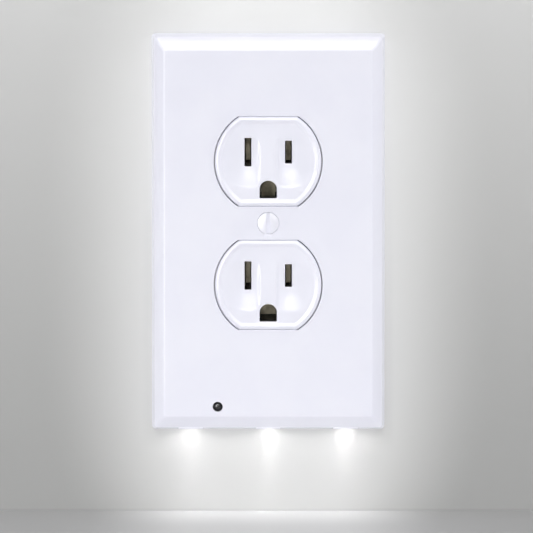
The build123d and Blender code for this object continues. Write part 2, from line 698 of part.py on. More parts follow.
def make_terminal_screw(z, head_round=True):
    """A backed-out terminal screw on the right side, its head outwards. A hexagon head is the ground's."""
    tip = ALCOVE_HALF_WIDTH - SIDE_WALL + TERMINAL_TIP_GAP
    screw = rod_x(TERMINAL_SHANK_RADIUS, tip, HEAD_INNER, TERMINAL_Y, z)
    if head_round:
        head = rod_x(TERMINAL_HEAD_RADIUS, HEAD_INNER, HEAD_OUTER, TERMINAL_Y, z)
        head = fillet(head.edges().filter_by(GeomType.CIRCLE).group_by(Axis.X)[-1], TERMINAL_HEAD_ROUND)
    else:
        turned = Plane(origin=(HEAD_INNER, TERMINAL_Y, z), z_dir=(1, 0, 0))
        head = extrude(turned * RegularPolygon(TERMINAL_HEAD_RADIUS, 6), amount=TERMINAL_HEAD_HEIGHT)
    half = SLOT_CUT_WIDTH / 2
    reach = TERMINAL_HEAD_RADIUS + PAST
    head -= block(HEAD_OUTER - SLOT_CUT_DEPTH, HEAD_OUTER + PAST, TERMINAL_Y - reach, TERMINAL_Y + reach,
                  z - half, z + half)
    return solids_of(screw + head)


def make_box_screw(z):
    """A captive screw: a waisted neck through the strap's slot and a full shank behind the wall plane."""
    seat = STRAP_FRONT - SEAT
    point = BOX_SCREW_REACH - BOX_POINT
    screw = rod_y(BOX_HEAD_RADIUS, seat, seat - BOX_HEAD_EDGE, z=z)
    screw += dome_y(BOX_HEAD_RADIUS, seat - BOX_HEAD_EDGE, BOX_HEAD_HEIGHT - BOX_HEAD_EDGE, z=z)
    screw += rod_y(BOX_NECK_RADIUS, BOX_NECK_END, seat, z=z)
    screw += rod_y(BOX_SHANK_RADIUS, point, BOX_NECK_END, z=z)
    screw += cone_y(BOX_POINT_RADIUS, BOX_SHANK_RADIUS, BOX_SCREW_REACH, point, z=z)
    screw -= driver_slot(BOX_HEAD_RADIUS, seat - BOX_HEAD_HEIGHT, z=z)
    return solids_of(screw)


def make_screw_retainers():
    """Two fibre washers that keep the box screws in the strap."""
    washers = []
    front = STRAP_BACK + RUNNING
    for z in BOX_SCREW_ZS:
        back = front + RETAINER_THICKNESS
        washer = rod_y(RETAINER_RADIUS, back, front, z=z)
        washer -= rod_y(BOX_NECK_RADIUS + RUNNING, back + PAST, front - PAST, z=z)
        washers.append(solids_of(washer))
    return Compound(children=washers)


def rivet_places():
    return [(x, z) for x in (-RIVET_X, RIVET_X) for z in (-RIVET_Z, RIVET_Z)]


def make_rivets():
    """Four drive rivets from the body's back through the strap into the socket face."""
    rivets = []
    front = STRAP_FRONT - RIVET_BITE + CLEAR
    seat = BODY_BACK + SEAT
    for x, z in rivet_places():
        rivet = rod_y(RIVET_RADIUS, seat, front, x, z)
        head = rod_y(RIVET_HEAD_RADIUS, seat + RIVET_HEAD_HEIGHT, seat, x, z)
        head = fillet(head.edges().filter_by(GeomType.CIRCLE).group_by(Axis.Y)[-1], RIVET_HEAD_ROUND)
        rivets.append(solids_of(rivet + head))
    return Compound(children=rivets)


# ---------------------------------------------------------------- socket face
def slot_cuts(z):
    """The two blade slots and the arched ground hole of one socket, as sketches."""
    raise_z = z + BLADE_RAISE
    cuts = Pos(-BLADE_OFFSET, raise_z) * Rectangle(SLOT_WIDTH, NEUTRAL_SLOT_HEIGHT)
    cuts += Pos(BLADE_OFFSET, raise_z) * Rectangle(SLOT_WIDTH, HOT_SLOT_HEIGHT)
    arch = z - GROUND_DROP
    cuts += Pos(0, arch) * Circle(GROUND_RADIUS)
    cuts += Pos(0, arch - GROUND_RADIUS / 2) * Rectangle(2 * GROUND_RADIUS, GROUND_RADIUS)
    return cuts


def make_socket_front(z):
    """One raised socket: rounded edge, shallow recess, and two dishes with a ridge between them."""
    boss = slab(Pos(0, z) * socket_outline(0), FLANGE_FRONT + SEAT, SOCKET_FRONT)
    rim = boss.faces().sort_by(Axis.Y)[0].edges()
    boss = fillet(rim, SOCKET_EDGE_ROUND)
    level = SOCKET_FRONT + RECESS_DEPTH
    widen = RECESS_SLOPE * RECESS_MOUTH / RECESS_DEPTH
    wide = front_plane(SOCKET_FRONT - RECESS_MOUTH) * Pos(0, z) * socket_outline(widen - RECESS_INSET)
    narrow = front_plane(level) * Pos(0, z) * socket_outline(-RECESS_INSET - RECESS_SLOPE)
    boss -= loft([wide, narrow], ruled=True)
    ball = (DISH_RADIUS**2 + DISH_DEPTH**2) / (2 * DISH_DEPTH)
    inside = socket_outline(-RECESS_INSET - RECESS_SLOPE - SEAT)
    well = slab(Pos(0, z) * inside, level + DISH_DEPTH + PAST, level - RUNNING)
    for side in (-1, 1):
        dish = Pos(side * DISH_OFFSET, level + DISH_DEPTH - ball, z) * Sphere(ball)
        lane = block(side * RIDGE_HALF_WIDTH, side * SOCKET_RADIUS, level + DISH_DEPTH + PAST,
                     level - RUNNING, z - SOCKET_RADIUS, z + SOCKET_RADIUS)
        boss -= dish & lane & well
    return boss


def make_socket_face():
    outline = rounded(FLANGE_HALF_WIDTH, -FLANGE_HALF_HEIGHT, FLANGE_HALF_HEIGHT, FLANGE_CORNER)
    face = slab(outline, STRAP_FRONT - SEAT, FLANGE_FRONT)
    for z in SOCKET_ZS:
        face += make_socket_front(z)
    face -= rod_y(screw_boss_radius() + CLEAR, 0, SOCKET_FRONT - PAST)
    for z in SOCKET_ZS:
        face -= slab(slot_cuts(z), 0, SOCKET_FRONT - PAST)
    for x, z in rivet_places():
        face -= rod_y(RIVET_RADIUS + RUNNING, 0, STRAP_FRONT - RIVET_BITE, x, z)
    return solids_of(face)


# ---------------------------------------------------------------- strap
def ear_places():
    return [(x, z) for x in (-EAR_OFFSET_X, EAR_OFFSET_X) for z in (-EAR_OFFSET_Z, EAR_OFFSET_Z)]


def strap_outline():
    outline = Rectangle(2 * STRAP_HALF_WIDTH, 2 * STRAP_WIDE_HALF_HEIGHT)
    outline += Rectangle(2 * STRAP_END_HALF_WIDTH, 2 * STRAP_HALF_LENGTH)
    for x, z in ear_places():
        outline += Pos(x, z) * Circle(EAR_RADIUS)
    return outline


def strap_windows():
    """The openings behind each socket that blades, pins and screws pass through."""
    side = BLADE_OFFSET + SLOT_WIDTH / 2 + WINDOW_SIDE
    tall = NEUTRAL_SLOT_HEIGHT / 2 + WINDOW_END
    ground = GROUND_RADIUS + GROUND_WINDOW_SIDE
    windows = Sketch()
    for z in SOCKET_ZS:
        windows += Pos(0, z + BLADE_RAISE) * Rectangle(2 * side, 2 * tall)
        arch = z - GROUND_DROP
        low = arch - ground
        high = z + BLADE_RAISE
        windows += Pos(0, (low + high) / 2) * Rectangle(2 * ground, high - low)
    return windows


def make_mounting_strap():
    strap = slab(strap_outline(), STRAP_BACK, STRAP_FRONT)
    front = STRAP_FRONT - PAST
    strap -= slab(strap_windows(), PAST, front)
    # threaded collar for the cover screw
    collar_back = STRAP_BACK + COLLAR_DEPTH
    strap += rod_y(COLLAR_RADIUS, collar_back, STRAP_BACK)
    strap -= rod_y(COVER_SHANK_RADIUS + RUNNING, collar_back + PAST, front)
    # slots for the box screws, holes in the plaster ears and rivet holes
    slot = SlotOverall(BOX_SLOT_LENGTH, 2 * BOX_SLOT_HALF_WIDTH)
    for z in BOX_SCREW_ZS:
        strap -= slab(Pos(0, z) * slot, PAST, front)
    for x, z in ear_places():
        strap -= rod_y(EAR_HOLE_RADIUS, PAST, front, x, z)
    for x, z in rivet_places():
        strap -= rod_y(RIVET_RADIUS + CLEAR, PAST, front, x, z)
    # the ground terminal's tab, folded back beside the body
    inner = -ALCOVE_HALF_WIDTH - RUNNING
    outer = inner - TAB_THICKNESS
    low = GROUND_SCREW_Z - TAB_HALF_HEIGHT
    high = GROUND_SCREW_Z + TAB_HALF_HEIGHT
    strap += block(outer, TAB_LAP - STRAP_HALF_WIDTH, STRAP_BACK, STRAP_FRONT, low, high)
    strap += block(outer, inner, TAB_DEPTH, STRAP_FRONT, low, high)
    hole = TERMINAL_SHANK_RADIUS + RUNNING
    strap -= rod_x(hole, outer - PAST, inner + PAST, GROUND_SCREW_Y, GROUND_SCREW_Z)
    return solids_of(strap)


# ---------------------------------------------------------------- receptacle body
def clip_zone(z):
    """Low and high levels of the blade contacts behind one socket."""
    middle = z + BLADE_RAISE
    return middle - LEAF_HALF_HEIGHT, middle + LEAF_HALF_HEIGHT


def rail_span():
    return clip_zone(SOCKET_ZS[1])[0], clip_zone(SOCKET_ZS[0])[1]


def rail_inner():
    return ALCOVE_HALF_WIDTH - SIDE_WALL - POCKET_CLEAR - BRASS


def side_pockets():
    """Room in the body's right half for one side's contact, open to the front."""
    low, high = rail_span()
    front = STRAP_FRONT - PAST
    wall = ALCOVE_HALF_WIDTH - SIDE_WALL
    trough = block(wall - TROUGH_WIDTH, wall, front, POCKET_FLOOR, low - POCKET_CLEAR, high + POCKET_CLEAR)
    inner = BLADE_OFFSET - BLADE_GAP / 2 - BRASS - LEAF_FLARE - POCKET_CLEAR
    for z in SOCKET_ZS:
        zone_low, zone_high = clip_zone(z)
        trough += block(inner, rail_inner(), front, POCKET_FLOOR,
                        zone_low - POCKET_CLEAR, zone_high + POCKET_CLEAR)
    half = BRIDGE_HALF_HEIGHT + POCKET_CLEAR
    trough += block(rail_inner(), BODY_HALF_WIDTH, front, CONTACT_BACK + POCKET_CLEAR, -half, half)
    for z in TERMINAL_ZS:
        trough += rod_x(TERMINAL_SHANK_RADIUS + POCKET_CLEAR, rail_inner(), BODY_HALF_WIDTH, TERMINAL_Y, z)
    return trough


def ground_trench():
    """Room along the middle for the ground strip and its two pin clips."""
    front = STRAP_FRONT - PAST
    half = GROUND_STRIP_HALF_WIDTH + POCKET_CLEAR
    low = ground_strip_low() - POCKET_CLEAR
    high = ground_strip_high() + POCKET_CLEAR
    trench = block(-half, half, front, ground_strip_back() + SEAT, low, high)
    reach = GROUND_PIN_GAP / 2 + BRASS + LEAF_FLARE + POCKET_CLEAR
    tall = GROUND_LEAF_HALF_HEIGHT + POCKET_CLEAR
    for z in SOCKET_ZS:
        at = z - GROUND_DROP
        trench += block(-reach, reach, front, ground_strip_back() + SEAT, at - tall, at + tall)
    return trench


def ground_strip_front():
    return CONTACT_BACK + GROUND_STRIP_GAP


def ground_strip_back():
    return ground_strip_front() + BRASS


def ground_strip_low():
    return SOCKET_ZS[1] - GROUND_DROP - GROUND_LEAF_HALF_HEIGHT


def ground_strip_high():
    return clip_zone(SOCKET_ZS[0])[1] + GROUND_LEG_PAST_CLIP


def make_receptacle_body():
    body = slab(rounded(BODY_HALF_WIDTH, -BODY_HALF_HEIGHT, BODY_HALF_HEIGHT, BODY_CORNER),
                BODY_BACK, STRAP_FRONT + SEAT)
    front = STRAP_FRONT - PAST
    back = BODY_BACK + PAST
    side = BODY_HALF_WIDTH + PAST
    end = BODY_HALF_HEIGHT + PAST
    # the strap lies in a channel along the front, and its ground tab folds down the left side
    channel = STRAP_HALF_WIDTH + CLEAR
    seat = STRAP_BACK + SEAT
    body -= block(-channel, channel, seat, front, -end, end)
    tab_low = GROUND_SCREW_Z - TAB_HALF_HEIGHT - CLEAR
    tab_high = GROUND_SCREW_Z + TAB_HALF_HEIGHT + CLEAR
    body -= block(-side, -STRAP_HALF_WIDTH, seat, front, tab_low, tab_high)
    # alcoves for the terminals, the left one down to the ground screw's tab
    alcove = block(ALCOVE_HALF_WIDTH, side, front, back, -ALCOVE_HALF_HEIGHT, ALCOVE_HALF_HEIGHT)
    body -= alcove
    body -= mirrored(alcove)
    body -= block(-side, -ALCOVE_HALF_WIDTH, front, back, tab_low, 0)
    hole = TERMINAL_SHANK_RADIUS + POCKET_CLEAR
    body -= rod_x(hole, -side, SIDE_WALL - ALCOVE_HALF_WIDTH, GROUND_SCREW_Y, GROUND_SCREW_Z)
    # pockets for the contacts, room for the strap's collar, and rivet holes
    body -= side_pockets()
    body -= mirrored(side_pockets())
    body -= ground_trench()
    body -= rod_y(COLLAR_RADIUS + CLEAR, STRAP_BACK + COLLAR_DEPTH + CLEAR, front)
    for x, z in rivet_places():
        body -= rod_y(RIVET_RADIUS + RUNNING, back, front, x, z)
    return solids_of(body)


# ---------------------------------------------------------------- contacts
def leaf(x_flat, direction, z_low, z_high, front, back):
    """A spring leaf along Y whose mouth flares away from the blade; direction is the side it flares to."""
    outer = x_flat + direction * BRASS
    flare = direction * LEAF_FLARE
    mouth = front + LEAF_MOUTH
    points = [
        (x_flat, back),
        (x_flat, mouth),
        (x_flat + flare, front),
        (outer + flare, front),
        (outer, mouth),
        (outer, back),
    ]
    outline = make_face(Polyline(*points, close=True))
    return Pos(0, 0, z_low) * extrude(outline, amount=z_high - z_low)


def make_right_contact():
    """One side's brass: two blade clips, the rail that joins them and the terminal plate outside."""
    low, high = rail_span()
    rail_x = rail_inner()
    web_front = CONTACT_BACK - BRASS
    contact = block(rail_x, rail_x + BRASS, RAIL_FRONT, CONTACT_BACK, low, high)
    for z in SOCKET_ZS:
        zone_low, zone_high = clip_zone(z)
        inner = BLADE_OFFSET - BLADE_GAP / 2
        outer = BLADE_OFFSET + BLADE_GAP / 2
        contact += leaf(inner, -1, zone_low, zone_high, CONTACT_FRONT, CONTACT_BACK)
        contact += leaf(outer, 1, zone_low, zone_high, CONTACT_FRONT, CONTACT_BACK)
        contact += block(inner - BRASS, rail_x + BRASS, web_front, CONTACT_BACK, zone_low, zone_high)
    plate_inner = TERMINAL_OUTER - TERMINAL_PLATE
    contact += block(rail_x, TERMINAL_OUTER, web_front, CONTACT_BACK, -BRIDGE_HALF_HEIGHT,
                     BRIDGE_HALF_HEIGHT)
    plate_front = TERMINAL_Y - TERMINAL_HALF_DEPTH
    contact += block(plate_inner, TERMINAL_OUTER, plate_front, CONTACT_BACK, -TERMINAL_HALF_HEIGHT,
                     TERMINAL_HALF_HEIGHT)
    # screw holes, and the notches that leave the break-off tab
    cut_inner = plate_inner - SEAT
    cut_outer = TERMINAL_OUTER + PAST
    for z in TERMINAL_ZS:
        contact -= rod_x(TERMINAL_SHANK_RADIUS + RUNNING, cut_inner, cut_outer, TERMINAL_Y, z)
    notch = BREAK_NOTCH_HALF_HEIGHT
    front_notch = (plate_front - PAST, TERMINAL_Y - BREAK_TAB_HALF_DEPTH)
    back_notch = (TERMINAL_Y + BREAK_TAB_HALF_DEPTH, web_front - BRASS)
    for start, end in (front_notch, back_notch):
        contact -= block(cut_inner, cut_outer, start, end, -notch, notch)
    return solids_of(contact)


def make_ground_contact():
    """The ground strip with a clip for each pin and a leg that meets the strap."""
    front = ground_strip_front()
    back = ground_strip_back()
    low, high = ground_strip_low(), ground_strip_high()
    contact = block(-GROUND_STRIP_HALF_WIDTH, GROUND_STRIP_HALF_WIDTH, front, back, low, high)
    for z in SOCKET_ZS:
        at = z - GROUND_DROP
        z_low, z_high = at - GROUND_LEAF_HALF_HEIGHT, at + GROUND_LEAF_HALF_HEIGHT
        reach = GROUND_PIN_GAP / 2
        contact += leaf(-reach, -1, z_low, z_high, CONTACT_FRONT, back)
        contact += leaf(reach, 1, z_low, z_high, CONTACT_FRONT, back)
        contact += block(-reach - BRASS, reach + BRASS, front, back, z_low, z_high)
    contact += block(-GROUND_STRIP_HALF_WIDTH, GROUND_STRIP_HALF_WIDTH, STRAP_BACK + SEAT, back,
                     high - BRASS, high)
    return solids_of(contact)


# ---------------------------------------------------------------- every node
def ground_screw():
    """A terminal screw with a hexagon head, moved to the strap's tab."""
    screw = mirrored(make_terminal_screw(GROUND_SCREW_Z, head_round=False))
    outward = TAB_THICKNESS - TERMINAL_PLATE
    return Pos(-outward, GROUND_SCREW_Y - TERMINAL_Y, 0) * screw


def make_nodes():
    right_contact = make_right_contact()
    right_arm = make_right_arm()
    right_strip = make_right_prong_contact()
    right_conductor = make_right_conductor()
    upper, lower = TERMINAL_ZS
    return {
        "cover_plate": make_cover_plate(),
        "back_cover": make_back_cover(),
        "back_cover_screws": make_case_screws(),
        "circuit_board": make_circuit_board(),
        "led_packages": make_led_packages(),
        "led_phosphors": make_led_phosphors(),
        "left_light_lens": make_lens(LED_XS[0]),
        "middle_light_lens": make_lens(LED_XS[1]),
        "right_light_lens": make_lens(LED_XS[2]),
        "light_sensor": make_light_sensor(),
        "bridge_rectifier": make_bridge_rectifier(),
        "driver_chip": make_driver_chip(),
        "smoothing_capacitor": make_smoothing_capacitor(),
        "chip_resistors": make_chip_resistors(),
        "left_conductor": mirrored(right_conductor),
        "right_conductor": right_conductor,
        "left_prong_arm": mirrored(right_arm),
        "right_prong_arm": right_arm,
        "left_prong_contact": mirrored(right_strip),
        "right_prong_contact": right_strip,
        "cover_screw": make_cover_screw(),
        "socket_face": make_socket_face(),
        "receptacle_body": make_receptacle_body(),
        "mounting_strap": make_mounting_strap(),
        "hot_contact": right_contact,
        "neutral_contact": mirrored(right_contact),
        "ground_contact": make_ground_contact(),
        "upper_hot_screw": make_terminal_screw(upper),
        "lower_hot_screw": make_terminal_screw(lower),
        "upper_neutral_screw": mirrored(make_terminal_screw(upper)),
        "lower_neutral_screw": mirrored(make_terminal_screw(lower)),
        "ground_screw": ground_screw(),
        "upper_box_screw": make_box_screw(BOX_SCREW_ZS[0]),
        "lower_box_screw": make_box_screw(BOX_SCREW_ZS[1]),
        "screw_retainers": make_screw_retainers(),
        "assembly_rivets": make_rivets(),
    }


def main():
    os.makedirs("parts", exist_ok=True)
    for name, shape in make_nodes().items():
        export_step(shape, f"parts/{name}.step")


main()
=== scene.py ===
"""Looks for a duplex wall outlet with a plug-on night light cover plate.

Frame: the wall plane is Y = 0, the room is at -Y, X runs to the right as seen from the room and Z is up.
The origin is on the cover screw's axis. Shapes are worked out in millimetres and written in metres.
"""

import math

import bmesh
import bpy
import numpy as np
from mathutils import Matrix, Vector
from mathutils.geometry import delaunay_2d_cdt


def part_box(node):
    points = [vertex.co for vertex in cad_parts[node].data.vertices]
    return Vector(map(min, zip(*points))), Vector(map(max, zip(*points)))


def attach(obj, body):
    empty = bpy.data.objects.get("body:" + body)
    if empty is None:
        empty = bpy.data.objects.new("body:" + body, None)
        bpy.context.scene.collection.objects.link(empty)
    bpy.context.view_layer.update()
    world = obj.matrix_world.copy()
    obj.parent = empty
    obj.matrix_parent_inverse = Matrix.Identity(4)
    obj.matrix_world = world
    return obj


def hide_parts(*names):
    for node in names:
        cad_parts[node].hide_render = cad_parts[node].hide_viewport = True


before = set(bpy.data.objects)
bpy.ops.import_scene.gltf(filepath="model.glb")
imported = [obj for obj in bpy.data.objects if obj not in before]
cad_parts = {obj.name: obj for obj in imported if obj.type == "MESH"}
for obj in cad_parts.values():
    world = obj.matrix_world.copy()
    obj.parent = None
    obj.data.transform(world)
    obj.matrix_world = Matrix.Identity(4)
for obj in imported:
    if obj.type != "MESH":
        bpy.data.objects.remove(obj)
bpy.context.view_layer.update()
SLOT_OF = {name: node.data.materials[0].name for name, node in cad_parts.items()}
for imported in list(bpy.data.materials):
    imported.name = "cad_" + imported.name

MM = 0.001

# ---- sizes, in millimetres
PLATE_HALF_WIDTH = 36.7
PLATE_TOP = 59.3
PLATE_BOTTOM = 65.9
PLATE_FRONT = -7.4
PLATE_CORNERS = (1.3, 0.7)  # radius at the rear edge and at the front
RIM_FRONT = -3.6
RIM_DRAFT = 0.9
REAR_ROUND = 0.3
BEVEL_SIDE = 4.0
BEVEL_END = 4.8
BEVEL_ROUND = 0.7  # where the bevel meets the rim and the front
SIDE_CROWN = (0.14, 14.0)  # height over the flat bevel, radius
END_CROWN = (0.035, 60.0)
SHELL_WALL = 1.8
CAVITY_FRONT = PLATE_FRONT + SHELL_WALL
CAVITY_CORNERS = (0.8, 0.5)
CAVITY_ROUND = 0.5
LAST_LEG = 3.0  # the last point of a rounded line only gives its direction, and is left out
OPENING_GAP = 0.28
OPENING_FLAT_GAP = 0.03  # above and below each socket
OPENING_ROUND = 0.3
SENSOR_X = -15.9
SENSOR_Z = -58.0
SENSOR_HOLE_RADIUS = 1.57
SENSOR_HOLE_ROUND = 0.15
LED_XS = (-24.4, 0.0, 24.4)
LENS_SLOT_HALF_WIDTH = 3.85
LENS_SLOT_YS = (-3.35, -0.85)
LENS_SLOT_ZS = (-67.0, -62.4)

# pieces that rest on another end here, just clear of it
ON_STRAP = -1.82
ON_BACK_COVER = -1.52
ON_BOARD = -4.22

SINK_RADIUS = 3.56  # the cover screw's countersink
SINK_LIP = ((0, 0), (0.05, 0.03), (0.08, 0.1))  # inset and depth of its rounded edge
SINK_BACK = -5.5
SCREW_HOLE_RADIUS = 2.0
SCREW_BOSS_RADIUS = 4.35
RIB_ROOT = CAVITY_FRONT - 0.4  # inside the plate's front
CASE_BOSS_X = 28.97
CASE_BOSS_ZS = (48.0, -46.0)
CASE_BOSS_RADIUS = 2.3
BOARD_POST_X = 12.2
BOARD_POST_Z = -58.53
BOARD_POST_RADIUS = 1.2
BOARD_PIN_RADIUS = 0.7
BOARD_PIN_YS = (-4.4, -3.18)
HINGE_POST_XS = (18.97, 22.17)
HINGE_POST_ZS = (-4.05, -15.75)
HINGE_POST_HALF_HEIGHT = 0.8
HINGE_POST_BACK = -3.85
HINGE_CHEEK_XS = (19.345, 21.795)
HINGE_CHEEK_HALF_WIDTH = 0.375
HINGE_CHEEK_FRONT = -4.0
CONDUCTOR_RIB_XS = (22.34, 25.14)
CONDUCTOR_RIB_ZS = (-45.2, -35.6, -26.1)
CONDUCTOR_RIB_HALF_HEIGHT = 0.5
CONDUCTOR_RIB_BACK = -3.2

SOCKET_ZS = (19.45, -19.45)
SOCKET_RADIUS = 16.75
SOCKET_HALF_HEIGHT = 14.1
SOCKET_FRONT = -7.9
SOCKET_ROUNDS = (1.1, 0.6, 0.9)  # at the crest, the recess's edge and its foot
RECESS_INSET = 1.2
RECESS_SLOPE = 0.9
RECESS_FLOOR = -7.5
DISH_DEPTH = 0.6
DISH_RADIUS = 8.2
DISH_OFFSET = 6.2
DISH_EDGE = 0.03  # softens the line where a dish starts
DISH_FADE = 1.6  # over this width the dishes end at the recess's slope
RIDGE_SLOPE = (2.3, 3.4)  # from its top to its foot, each side of the middle
GRID_STEP = 0.7
RIDGE_GRID_STEP = 0.2
GRID_MARGIN = 0.4  # to the recess's slope
GRID_SLOT_MARGIN = 0.3  # to a slot's lip
FACE_BACK = -1.86
FLANGE_FRONT = -3.0
FLANGE_HALF_WIDTH = 16.2
FLANGE_HALF_HEIGHT = 35.8
FLANGE_CORNER = 3.0
FLANGE_LAP = 1.0  # under each socket
FLANGE_HOLE_RADIUS = 4.6
BLADE_X = 6.35
BLADE_RAISE = 2.95
SLOT_HALF_WIDTH = 1.075
SLOT_CORNER = 0.25
SLOT_LIP = 0.12
SLOT_LIP_STEPS = 3
# painted shade: past this depth a slot's walls take a dark finish that stands in for the shade deep in the
# slot
SLOT_PALE_DEPTH = 0.5  # a slot's walls are dark beyond this
NEUTRAL_HALF_HEIGHT = 4.5
HOT_HALF_HEIGHT = 3.6
GROUND_DROP = 8.7
GROUND_RADIUS = 2.7
GROUND_FOOT = 2.85  # from the arch's centre to the flat bottom
GROUND_CORNER = 0.3

# frames on the body's back: x0, x1, z0, z1, corner radius, width
BODY_FRAMES = ((-12.4, 12.4, -13.0, 20.0, 2.0, 0.9), (-8.0, 8.0, -20.6, -17.4, 1.6, 0.7))
BODY_FRAME_HEIGHT = 0.38
BODY_FRAME_EDGE = (0.14, 0.1)  # width and height of its sloped edges
BODY_FRAME_SUNK = 0.1

DRIVER_BLADE = (0.6, 4.0, 6.0)  # cuts the driver slots: half width, depth and half length, past any head
COVER_HEAD_RADIUS = 3.36
COVER_HEAD_DOME = 0.6
COVER_HEAD_RIM = ((0.1, -0.16), (0, -0.06), (0.04, 0.03))  # inset and height
COVER_DOME_FOOT = (0.12, 0.06)
COVER_SHANK = 0.4  # plain, below the cone
COVER_THREAD_START = 0.2
COVER_THREAD_RADIUS = 1.75
COVER_SCREW_REACH = 8.0  # behind the wall plane
SINK_HALF_ANGLE = 41.0
# lines of radius and height over each head, and the hexagon's shares of its corner radius
TERMINAL_HEAD = ((0.6, 0), (3.9, 0), (4.0, 0.12), (4.0, 1.4), (3.93, 1.66), (3.72, 1.85), (3.4, 1.96),
                 (2.4, 2.0), (0.5, 2.0))
HEXAGON_HEAD = ((0.97, 0.0), (1.0, 0.1), (1.0, 1.7), (0.93, 2.0))
HEXAGON_CORNER = 4.0
BOX_HEAD = ((0.6, 0), (3.4, 0), (3.5, 0.1), (3.5, 0.85))
BOX_HEAD_DOME = 1.05
BOX_NECK = ((1.5, -2.2), (1.5, 0.2))
TERMINAL_THREAD = (2.05, -3.84, 0.2)  # radius, low and high end
BOX_THREAD = (1.75, -18.82, -2.1)
TERMINAL_X = 16.4
TERMINAL_Y = 9.0
TERMINAL_Z = 9.9
GROUND_SCREW_PLACE = (-16.85, 7.5, -29.0)
BOX_SCREW_Z = 41.67

# the CAD nodes that stay: welded, joined where flat, and their hard edges rounded by a width
WELD_REACH = 0.0005
FLAT_ANGLE = 0.5  # in degrees
EASED = {"receptacle_body": 0.25, "mounting_strap": 0.12, "back_cover": 0.2, "left_prong_arm": 0.3,
         "right_prong_arm": 0.3, "left_prong_contact": 0.06, "right_prong_contact": 0.06, "hot_contact": 0.08,
         "neutral_contact": 0.08, "ground_contact": 0.08, "led_packages": 0.1, "bridge_rectifier": 0.1,
         "driver_chip": 0.1, "smoothing_capacitor": 0.15, "chip_resistors": 0.06, "left_conductor": 0.06,
         "right_conductor": 0.06, "circuit_board": 0.06}
SMOOTH_ANGLE = 35.0  # edges that turn by more, in degrees, stay sharp

# ---- the photograph's view
CAMERA_ELEVATION = 6.0
CAMERA_LENS = 500.0
CAMERA_SENSOR = 36.0
VIEW_WIDTH = 167.8
VIEW_CENTRE = (-0.54, 0.0, -14.38)

# ---- light
LENS_LAMP_Y = -2.9
LENS_LAMP_Z = -65.33
LENS_LAMP_THICKNESS = 0.8
LED_LIGHT = (1.0, 0.99, 0.97)
WORLD_LIGHT = (0.97, 0.98, 1.0, 1.0)
WORLD_LEVEL = 0.345
BACKDROP = (0.80, 0.80, 0.80, 1.0)

# ---- wall and floor
FLOOR_Z = -91.95
# the rest is in metres, as the shaders read it
# painted light: the wall's paint gets paler upward and palest in a patch round the plate, standing in for the
# light that falls on it
WALL_FADE_TOP = 0.070  # the paint gets paler from the floor up to here
WALL_FADE_POWERS = (1.42, 1.3)  # far from the plate, and round it
PAINTED_LIGHT_Z = -0.0135  # the pale patch round the plate
PAINTED_LIGHT_HALF_HEIGHT = 0.08
PAINTED_LIGHT_HALF_WIDTH = 0.073
PAINTED_LIGHT_TAPER = 0.012  # it is narrower by this much at its half height
PAINTED_LIGHT_POWER = 4.0
PAINTED_LIGHT_EDGE = 0.05
# painted shade: darker along the wall's foot, and close beside and just below the plate's lower half
FOOT_ZS = ((FLOOR_Z + 0.2) * MM, (FLOOR_Z + 1.2) * MM)
FOOT_SHADE = 0.94
BESIDE_SHADE = 0.07
BESIDE_XS = (0.0372, 0.0405)
BESIDE_ZS = (-0.045, 0.045)
BESIDE_FOOT = (-0.074, -0.065)
BODY_OPENING_LAP = 0.2  # in millimetres
# painted light and shade on the floor as the camera sees it: a pale band at the wall's foot under the plate,
# greyer to its sides
FLOOR_NEAR_XS = (0.022, 0.057)
FLOOR_NEAR_YS = (-0.04, -0.002)
FLOOR_FAR = (0.13, 0.32)

# ---- finishes
PLATING_XS = (0.0095, 0.0115)  # in metres; the contacts are tin-plated up to here and bare beyond


# ---- colour and nodes
def linear(*srgb):
    """A colour given in 0 to 255 screen values, as linear red, green, blue and 1."""
    out = []
    for value in srgb:
        share = value / 255
        out.append(share / 12.92 if share <= 0.04045 else ((share + 0.055) / 1.055) ** 2.4)
    return (*out, 1.0)


class Nodes:
    """A material's node tree, with short calls to add and join nodes."""

    def __init__(self, name):
        self.material = bpy.data.materials.new(name)
        self.material.use_nodes = True
        self.tree = self.material.node_tree
        self.shader = self.tree.nodes["Principled BSDF"]
        self.output = self.tree.nodes["Material Output"]

    def add(self, kind, inputs=None, **settings):
        node = self.tree.nodes.new("ShaderNode" + kind)
        for key, value in settings.items():
            setattr(node, key, value)
        for key, value in (inputs or {}).items():
            self.set(node, key, value)
        return node

    def set(self, node, key, value):
        if isinstance(value, bpy.types.NodeSocket):
            self.tree.links.new(value, node.inputs[key])
        else:
            node.inputs[key].default_value = value

    def shade(self, key, value):
        self.set(self.shader, key, value)

    def noise(self, coords, scale, detail=2.0, roughness=0.5):
        inputs = {"Vector": coords, "Scale": scale, "Detail": detail, "Roughness": roughness}
        return self.add("TexNoise", inputs).outputs["Fac"]

    def spread(self, value, low, high, out_low=0.0, out_high=1.0):
        """A value's place between two limits, eased at both ends."""
        inputs = {"Value": value, "From Min": low, "From Max": high, "To Min": out_low, "To Max": out_high}
        return self.add("MapRange", inputs, interpolation_type="SMOOTHSTEP").outputs["Result"]

    def spread_flat(self, value, low, high):
        inputs = {"Value": value, "From Min": low, "From Max": high}
        return self.add("MapRange", inputs).outputs["Result"]

    def math(self, operation, a, b=0.0):
        return self.add("Math", {0: a, 1: b}, operation=operation).outputs[0]

    def blend(self, share, a, b):
        """The first colour where the share is 0 and the second where it is 1."""
        return self.add("Mix", {0: share, 6: a, 7: b}, data_type="RGBA").outputs[2]

    def bump(self, height, distance, normal=None):
        node = self.add("Bump", {"Height": height, "Distance": distance})
        if normal:
            self.set(node, "Normal", normal)
        return node.outputs["Normal"]


